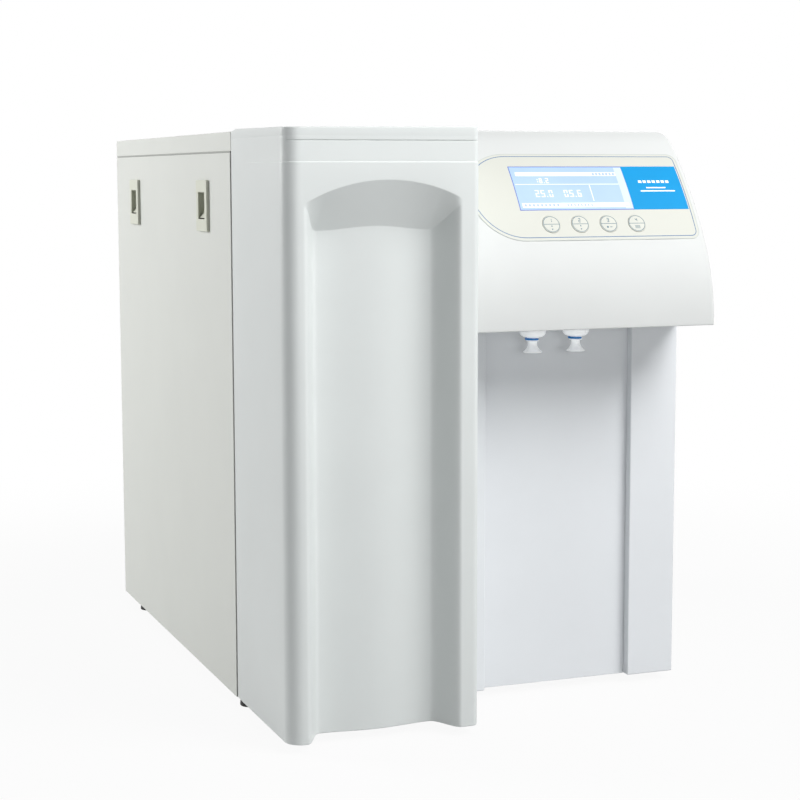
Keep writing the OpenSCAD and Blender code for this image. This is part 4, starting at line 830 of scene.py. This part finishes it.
def build_display():
    """The display's lens and its plain content: bars, numerals and ticks."""
    softened("display_window", "display_lens", 0.15 * MM, "display_glass")
    x0, x1 = WINDOW_X - WINDOW_W / 2, WINDOW_X + WINDOW_W / 2
    half = WINDOW_H / 2

    def at(s, t):
        """A place on the display: s from left to right and t from top to bottom, both 0 to 1."""
        return Vector((x0 + (x1 - x0) * s, half - WINDOW_H * t))

    def patch(s0, t0, s1, t1):
        low, high = at(s0, t1), at(s1, t0)
        return rectangle(low.x, low.y, high.x, high.y)

    def figure(text, s, t, height, stroke):
        low = at(s, t)
        return numerals(text, low.x, low.y, height * MM, stroke * MM)

    def ticks(count, start, pitch, width, t0, t1):
        return [patch(start + pitch * k, t0, start + width + pitch * k, t1) for k in range(count)]

    rim = 0.9 * MM
    outer = rectangle(x0, -half, x1, half)
    inner = rectangle(x0 + rim, -half + rim, x1 - rim * 0.3, half - rim)
    prints("display_rim", [(outer, [inner])], WINDOW_A, "violet_ink")
    prints("display_glow", [patch(0.93, 0.03, 0.996, 0.97)], WINDOW_A, "glow_ink")
    lines = [patch(0.045, 0.14, 0.93, 0.23), patch(0.03, 0.84, 0.97, 0.94), patch(0.02, 0.415, 0.93, 0.43),
             patch(0.66, 0.44, 0.668, 0.8)]
    figures = (figure("18.2", 0.2, 0.395, 6.0, 0.95) + figure("25.0", 0.17, 0.71, 8.0, 1.15)
               + figure("05.6", 0.42, 0.71, 8.0, 1.15))
    prints("display_figures", lines + figures, WINDOW_A, "white_ink")
    rows = (ticks(9, 0.05, 0.035, 0.018, 0.865, 0.915) + ticks(8, 0.42, 0.03, 0.012, 0.865, 0.915)
            + ticks(7, 0.72, 0.03, 0.02, 0.155, 0.215))
    prints("display_ticks", rows, WINDOW_A, "mark_ink", OVERLAY_T + INK)


def arrow(x, v, size, up):
    """A small triangle."""
    s = 1 if up else -1
    tip = Vector((x, v + s * size))
    a = Vector((x - size * 0.7, v - s * size * 0.3))
    b = Vector((x + size * 0.7, v - s * size * 0.3))
    return [a, b, tip] if up else [b, a, tip]


def key_signs(number, x):
    """The plain signs on the lower half of a key: arrows, a dot with a dash, or three dashes."""
    def dash(start, end, v, thick):
        return rectangle(x + start * MM, (v - thick / 2) * MM, x + end * MM, (v + thick / 2) * MM)

    if number < 3:
        return [arrow(x, -2.2 * MM, 1.2 * MM, True), arrow(x, -5.2 * MM, 1.2 * MM, False)]
    if number == 3:
        dot = [p + Vector((0, -3.6 * MM)) for p in circle(x - 1.8 * MM, 1.0 * MM, 24)]
        return [dot, dash(0.6, 3.0, -3.6, 0.6)]
    return [dash(-2.6, 2.6, v, 0.5) for v in (-2.6, -3.8, -5.0)]


def build_keys():
    """Round key caps with a soft edge, each with its printed ring, divider, number and signs."""
    out, _, centre = face_frame(KEY_A)
    top = OVERLAY_T + KEY_PROUD
    edge = 0.25 * MM
    ring_r, ring_w, line_w = 8.35 * MM, 0.5 * MM, 0.5 * MM
    # Radius and height in mm: the stem, the flange behind the head's skin, and the start of the cap
    stem = [(0, -11.5), (2.4, -11.5), (2.4, -5.1), (10.5, -5.1), (10.5, -3.9), (8.9, -3.9)]
    profile = [(r * MM, h * MM) for r, h in stem]
    profile += arc(KEY_R - edge, top - edge, edge, 0, 90, 3)
    profile.append((0, top))
    for number, node in enumerate(KEYS, 1):
        x = key_centre(node)
        cap = lathe(node + "_cap", profile, centre + Vector((x, 0, 0)), out, 96)
        add_piece(node + "_cap", cap, "key_plastic", (node,), node, sharp=45)
        inner_r = ring_r - ring_w
        shapes = [(circle(x, ring_r, 72), [circle(x, inner_r, 72)]),
                  rectangle(x - inner_r, -line_w / 2, x + inner_r, line_w / 2)]
        shapes += numerals(str(number), x - 1.1 * MM, 1.7 * MM, 4.2 * MM, 0.55 * MM)
        add_key_print(node, shapes + key_signs(number, x), top)


def add_key_print(node, shapes, flat):
    """Prints on a key's flat top."""
    out, up, centre = face_frame(KEY_A)
    meshes = []
    for shape in shapes:
        verts, faces = filled(*with_holes(shape), 30 * MM)
        level = [centre + Vector((p.x, 0, 0)) + up * p.y for p in verts]
        points = [p + out * h for h in (flat + INK, flat) for p in level]
        meshes.append(sheet("mark", points, faces))
    add_piece(node + "_print", joined(node + "_print", meshes), "key_ink", body=node)


# ---------------------------------------------------------------- outlets, feet, screws

BORE_R = 3.25 * MM
NECK_R = 5.4 * MM


def collar(lo, hi):
    """A bowl-shaped collar: straight bore, seat for the collet, and a bowl that narrows to its foot."""
    base = Vector((*foot_of(lo, hi).xy, HEAD_LO.z))
    r = (hi.x - lo.x) / 2
    drop = base.z - lo.z
    curve, foot, shank, above = 5.2 * MM, 6.3 * MM, 8 * MM, 16 * MM
    seat = -drop + 4 * MM
    mouth = NECK_R + 0.1 * MM
    bowl = [(BORE_R, above), (BORE_R, seat), (mouth, seat), (mouth, -drop)]
    for a in range(90, -1, -6):
        bowl.append((foot + (r - foot) * cos(radians(a)), -drop + curve * (1 - sin(radians(a)))))
    bowl += [(r, 0), (shank, 0), (shank, above)]
    return lathe("collar", bowl + bowl[:1], base)


def collet(lo, hi):
    """A collet with a thin lip at its foot."""
    tall = hi.z - lo.z
    lip = (hi.x - lo.x) / 2
    soft, thick = 0.4 * MM, 1.2 * MM
    line = [(BORE_R, 0), (lip - soft, 0), (lip, 0.35 * MM), (lip, 0.85 * MM), (lip - soft, thick),
            (NECK_R, thick), (NECK_R, tall), (BORE_R, tall)]
    return lathe("collet", line + line[:1], foot_of(lo, hi))


def clip(lo, hi):
    """A clip round the collet's neck, open to the left."""
    r = (hi.y - lo.y) / 2
    base = Vector((hi.x - r, (lo.y + hi.y) / 2, lo.z))
    inner = NECK_R + 0.05 * MM
    tall, soft = 1.8 * MM, 0.3 * MM
    line = [(inner, 0.1 * MM), (inner + 0.15 * MM, 0), (r - soft, 0), (r, soft), (r, tall - soft),
            (r - soft, tall), (inner + 0.15 * MM, tall), (inner, tall - 0.1 * MM)]
    return lathe("clip", line, base, gap=132)


def spout(lo, hi):
    """A trumpet spout: the bell opens along a power curve, outside and inside, below a straight tube."""
    mouth, neck, tube_r, throat = 8.8 * MM, 4 * MM, 3.175 * MM, 2.2 * MM
    tall, soft, flare = 10.5 * MM, 0.3 * MM, 2.2
    line = [(mouth - 0.35 * MM, 0), (mouth, 0.3 * MM), (mouth, 0.7 * MM)]
    line += [(neck + (mouth - 0.4 * MM - neck) * (1 - k / 14) ** flare, 1.0 * MM + tall * 0.75 * k / 14)
             for k in range(15)]
    line += [(neck, tall - soft), (neck - soft, tall), (tube_r, tall), (tube_r, hi.z - lo.z),
             (throat, hi.z - lo.z)]
    line += [(throat + (mouth - 1.2 * MM - throat) * (1 - k / 10) ** flare, 6.0 * MM * k / 10)
             for k in range(10, -1, -1)]
    return lathe("spout", line + line[:1], foot_of(lo, hi))


def build_outlets():
    """The two outlets, each kind of sub-part as one piece."""
    # The collars, collets and spouts carry the painted glow that keeps them light under the head
    for name, node, make, finish in (("outlet_collars", "outlet_fittings", collar, "white_plastic_painted_glow"),
                                     ("outlet_collets_dressed", "outlet_collets", collet, "white_plastic_painted_glow"),
                                     ("outlet_clips_dressed", "outlet_clips", clip, "clip_blue"),
                                     ("outlet_trumpets", "outlet_spouts", spout, "white_plastic_painted_glow")):
        mesh = joined(name, [make(lo, hi) for lo, hi in islands(node)])
        add_piece(name, mesh, finish, (node,), sharp=45)


def build_latches():
    """The hooked finger pulls, and a bar of painted shade on the step along the front edge of each latch
    plate.
    """
    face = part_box("access_panel")[0].x
    for place in ("front", "rear"):
        name = "latch_pull_" + place
        lo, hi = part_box(name)
        slim = 2 * MM
        profile = [(hi.x, lo.z), (lo.x, lo.z), (lo.x, lo.z + 0.6 * MM), (lo.x + 0.8 * MM, lo.z + 1.4 * MM),
                   (hi.x - slim - 0.6 * MM, lo.z + 12 * MM), (hi.x - slim, lo.z + 13.4 * MM),
                   (hi.x - slim, hi.z), (hi.x, hi.z)]
        n = len(profile)
        points = [Vector((x, y, z)) for y in (lo.y, hi.y) for x, z in profile]
        faces = grid_faces(2, n, closed=True) + [tuple(range(n)), tuple(range(2 * n - 1, n - 1, -1))]
        mesh = applied(to_mesh("pull", points, faces), "BEVEL", width=0.4 * MM, segments=3,
                       limit_method="ANGLE")
        add_piece(name + "_hook", even(mesh), "latch_plastic", (name,), name, EVEN_SHARP)

        # A dark bar over the front step of the latch housing: painted shade
        lo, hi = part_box("latch_housing_" + place)
        bar("latch_step_painted_shade_" + place, (lo.x + 0.7 * MM, lo.y - 0.12 * MM, lo.z + 1.2 * MM),
            (face - 0.15 * MM, lo.y + 0.4 * MM, hi.z - 1.2 * MM), "painted_shade", "access_panel", 0.05 * MM)


def build_top_strip():
    """The strip that closes the gap between the cover's rail and the side panel; its mid grey is painted
    shade in the seam. Towards the rear it comes up to the surface, so the seam fades there."""
    _, panel_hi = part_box("access_panel")
    cover_lo, cover_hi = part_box("top_cover")
    rail, deep = 18 * MM, 2.5 * MM
    z0, z1 = panel_hi.z + 0.12 * MM, cover_hi.z - rail + 0.1 * MM
    front = SEAM_Y + 3.2 * MM
    rear = cover_hi.y - 2 * MM
    fade = rear - 110 * MM
    points = []
    for y, sunk in ((front, 0.45 * MM), (fade, 0.35 * MM), (rear, 0.02 * MM)):
        for x, z in ((0, z0), (0, z1), (deep, z1), (deep, z0)):
            points.append(Vector((cover_lo.x + sunk + x, y, z)))
    faces = grid_faces(3, 4, closed=True) + [(3, 2, 1, 0), (8, 9, 10, 11)]
    mesh = applied(to_mesh("top_strip", points, faces), "BEVEL", width=0.15 * MM, segments=2)
    add_piece("top_strip", even(mesh), "painted_seam_shade")


def build_feet():
    """Turned rubber feet with a rounded tread and a waist below the pan."""
    feet = []
    tread = 1.2 * MM
    for lo, hi in islands("feet"):
        r = (hi.x - lo.x) / 2
        tall = hi.z - lo.z
        line = [(0, 0)] + arc(r - tread, tread, tread, -90, 0, 3)
        line += [(r * 0.97, tall - 3.2 * MM), (r * 0.9, tall - 2.5 * MM), (r * 0.55, tall - 2.5 * MM),
                 (r * 0.55, tall), (0, tall)]
        feet.append(lathe("foot", line, foot_of(lo, hi), turns=48))
    add_piece("rubber_feet", joined("rubber_feet", feet), "rubber", ("feet",), sharp=40)


def build_screws():
    """Pan-head screws with a cross recess on the rear panel."""
    screws = []
    for lo, hi in islands("panel_screws"):
        r = (hi.x - lo.x) / 2
        tall = hi.y - lo.y
        rim = tall * 0.35
        base = Vector(((lo.x + hi.x) / 2, lo.y, (lo.z + hi.z) / 2))
        line = [(0, 0), (r, 0), (r, rim)]
        line += [(r * cos(radians(a)), rim + (tall - rim) * sin(radians(a))) for a in (18, 36, 54, 72)]
        line.append((0, tall))
        work = bmesh.new()
        for wide, high in ((r * 1.1, r * 0.28), (r * 0.28, r * 1.1)):
            add_box(work, (base.x, hi.y, base.z), (wide, tall, high))
        head = lathe("screw", line, base, Vector((0, 1, 0)), turns=32)
        screws.append(cut(head, taken("cross", work), use_self=True))
    add_piece("cover_screws", joined("cover_screws", screws), "screw_steel", ("panel_screws",), sharp=30)


# ---------------------------------------------------------------- camera, light and floor

def build_camera():
    """The camera stands where the photo was taken from, as fitted to the photo's straight edges."""
    camera = bpy.data.cameras.new("camera")
    camera.sensor_width = 36
    focal_px, frame_px = 1846.2048, 800
    camera.lens = camera.sensor_width * focal_px / frame_px
    camera.clip_start = 0.05
    camera.clip_end = 50
    view = bpy.data.objects.new("camera", camera)
    SCENE.collection.objects.link(view)
    pitch, yaw, roll = 0.12090918, 0.36258992, -0.00212674
    ahead = Vector((sin(yaw) * cos(pitch), cos(yaw) * cos(pitch), -sin(pitch)))
    level = Vector((cos(yaw), -sin(yaw), 0))
    above = level.cross(ahead)
    right = level * cos(roll) + above * sin(roll)
    up = above * cos(roll) - level * sin(roll)
    turn = Matrix((right, up, -ahead)).transposed()
    view.matrix_world = Matrix.Translation((-0.6862713, -1.8395509, 0.5069275)) @ turn.to_4x4()
    SCENE.camera = view


def area(name, place, size, power, colour):
    """A round soft light that looks at the object's middle."""
    light = bpy.data.lights.new(name, "AREA")
    light.shape = "DISK"
    light.size = size
    light.energy = power
    light.color = colour
    obj = bpy.data.objects.new(name, light)
    SCENE.collection.objects.link(obj)
    obj.location = place
    aim = Vector((0, 0, 0.3)) - Vector(place)
    obj.rotation_euler = aim.to_track_quat("-Z", "Y").to_euler()


def build_lights():
    area("key", (0.9, -1.45, 1.85), 1.4, 54, (1.0, 0.998, 0.995))
    area("front", (-0.3, -2.2, 0.52), 0.4, 5, (1.0, 1.0, 1.0))
    area("side", (-2.3, 1.7, 1.35), 1.6, 67, (1.0, 1.0, 0.99))
    area("rear", (1.4, 2.6, 0.9), 1.6, 26, (1.0, 1.0, 1.0))


def any_of(tree, *kinds):
    """A socket that is 1 for rays of any of these kinds and otherwise 0."""
    rays = add_node(tree, "LightPath")
    found = rays.outputs[kinds[0]]
    for kind in kinds[1:]:
        either = add_node(tree, "Math")
        either.operation = "MAXIMUM"
        tree.links.new(found, either.inputs[0])
        tree.links.new(rays.outputs[kind], either.inputs[1])
        found = either.outputs[0]
    return found


def mixed(tree, share, first, second, output):
    """Sends a mix of two shaders to the output."""
    link = tree.links.new
    mix = add_node(tree, "MixShader")
    link(share, mix.inputs["Fac"])
    link(first.outputs[0], mix.inputs[1])
    link(second.outputs[0], mix.inputs[2])
    link(mix.outputs[0], output.inputs["Surface"])


def build_world():
    """Soft light from all sides, seen as plain white."""
    world = bpy.data.worlds.new("world")
    SCENE.world = world
    world.use_nodes = True
    tree = world.node_tree
    tree.nodes.clear()
    output = add_node(tree, "OutputWorld")
    light = add_node(tree, "Background", Color=(0.92, 0.96, 1.0, 1), Strength=0.15)
    seen = add_node(tree, "Background", Color=(1, 1, 1, 1), Strength=1.0)
    mixed(tree, any_of(tree, "Is Camera Ray", "Is Glossy Ray", "Is Transmission Ray"), light, seen, output)


def build_floor():
    """A pale floor, with a share of its shaded look near the object and plain white further out."""
    mesh = bpy.data.meshes.new("floor")
    reach = 12.0
    mesh.from_pydata([(-reach, -reach, 0), (reach, -reach, 0), (reach, reach, 0), (-reach, reach, 0)], [],
                     [(0, 1, 2, 3)])
    floor = bpy.data.objects.new("floor", mesh)
    SCENE.collection.objects.link(floor)
    floor.location.z = -0.5 * MM
    material = bpy.data.materials.new("floor")
    material.use_nodes = True
    tree = material.node_tree
    link = tree.links.new
    tree.nodes.clear()
    output = add_node(tree, "OutputMaterial")
    matte = add_node(tree, "BsdfDiffuse", Color=(0.55, 0.55, 0.55, 1))
    white = add_node(tree, "Emission", Strength=1.0)
    place = add_node(tree, "TexCoord")
    away = add_node(tree, "VectorMath")
    away.operation = "LENGTH"
    spread = add_node(tree, "MapRange", From_Min=0.45, From_Max=1.3, To_Min=0.93, To_Max=1.0)
    spread.interpolation_type = "SMOOTHSTEP"
    share = add_node(tree, "Math")
    share.operation = "MULTIPLY"
    link(place.outputs["Object"], away.inputs[0])
    link(away.outputs["Value"], spread.inputs["Value"])
    link(any_of(tree, "Is Camera Ray", "Is Glossy Ray"), share.inputs[0])
    link(spread.outputs["Result"], share.inputs[1])
    mixed(tree, share.outputs[0], matte, white, output)
    mesh.materials.append(material)


# ---------------------------------------------------------------- build

def carry_over():
    """Gives every CAD node its procedural finish, from the slot that the frame names."""
    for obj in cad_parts.values():
        slot = plain_name(obj.data.materials[0])
        obj.data.materials.clear()
        obj.data.materials.append(FINISHES[slot])


# Nodes that keep their CAD shape: finish, rounding of the edges in mm, and body
SOFT_NODES = {
    "top_cover": ("panel_paint", 0.9, "cabinet"),
    "right_panel": ("panel_paint", 0.7, "cabinet"),
    "access_panel": ("panel_paint", 0.7, "access_panel"),
    "bay_frame": ("bay_plastic", 1.2, "cabinet"),
    "bay_panel": ("bay_plastic", 0.5, "cabinet"),
    "latch_housing_front": ("latch_plastic", 0.9, "access_panel"),
    "latch_housing_rear": ("latch_plastic", 0.9, "access_panel"),
    "power_inlet": ("black_plastic", 0.5, "cabinet"),
    "switch_housing": ("black_plastic", 0.5, "cabinet"),
    "power_rocker": ("black_plastic", 0.5, "rocker"),
    "rear_ports": ("white_plastic", 0.5, "cabinet"),
}

carry_over()
build_camera()
build_lights()
build_world()
build_floor()
build_column()
build_head()
build_overlay()
build_display()
build_keys()
build_outlets()
build_latches()
build_top_strip()
build_feet()
build_screws()
for node, (finish, width, body) in SOFT_NODES.items():
    softened(node, finish, width * MM, body=body)

SCENE.view_settings.view_transform = "Standard"
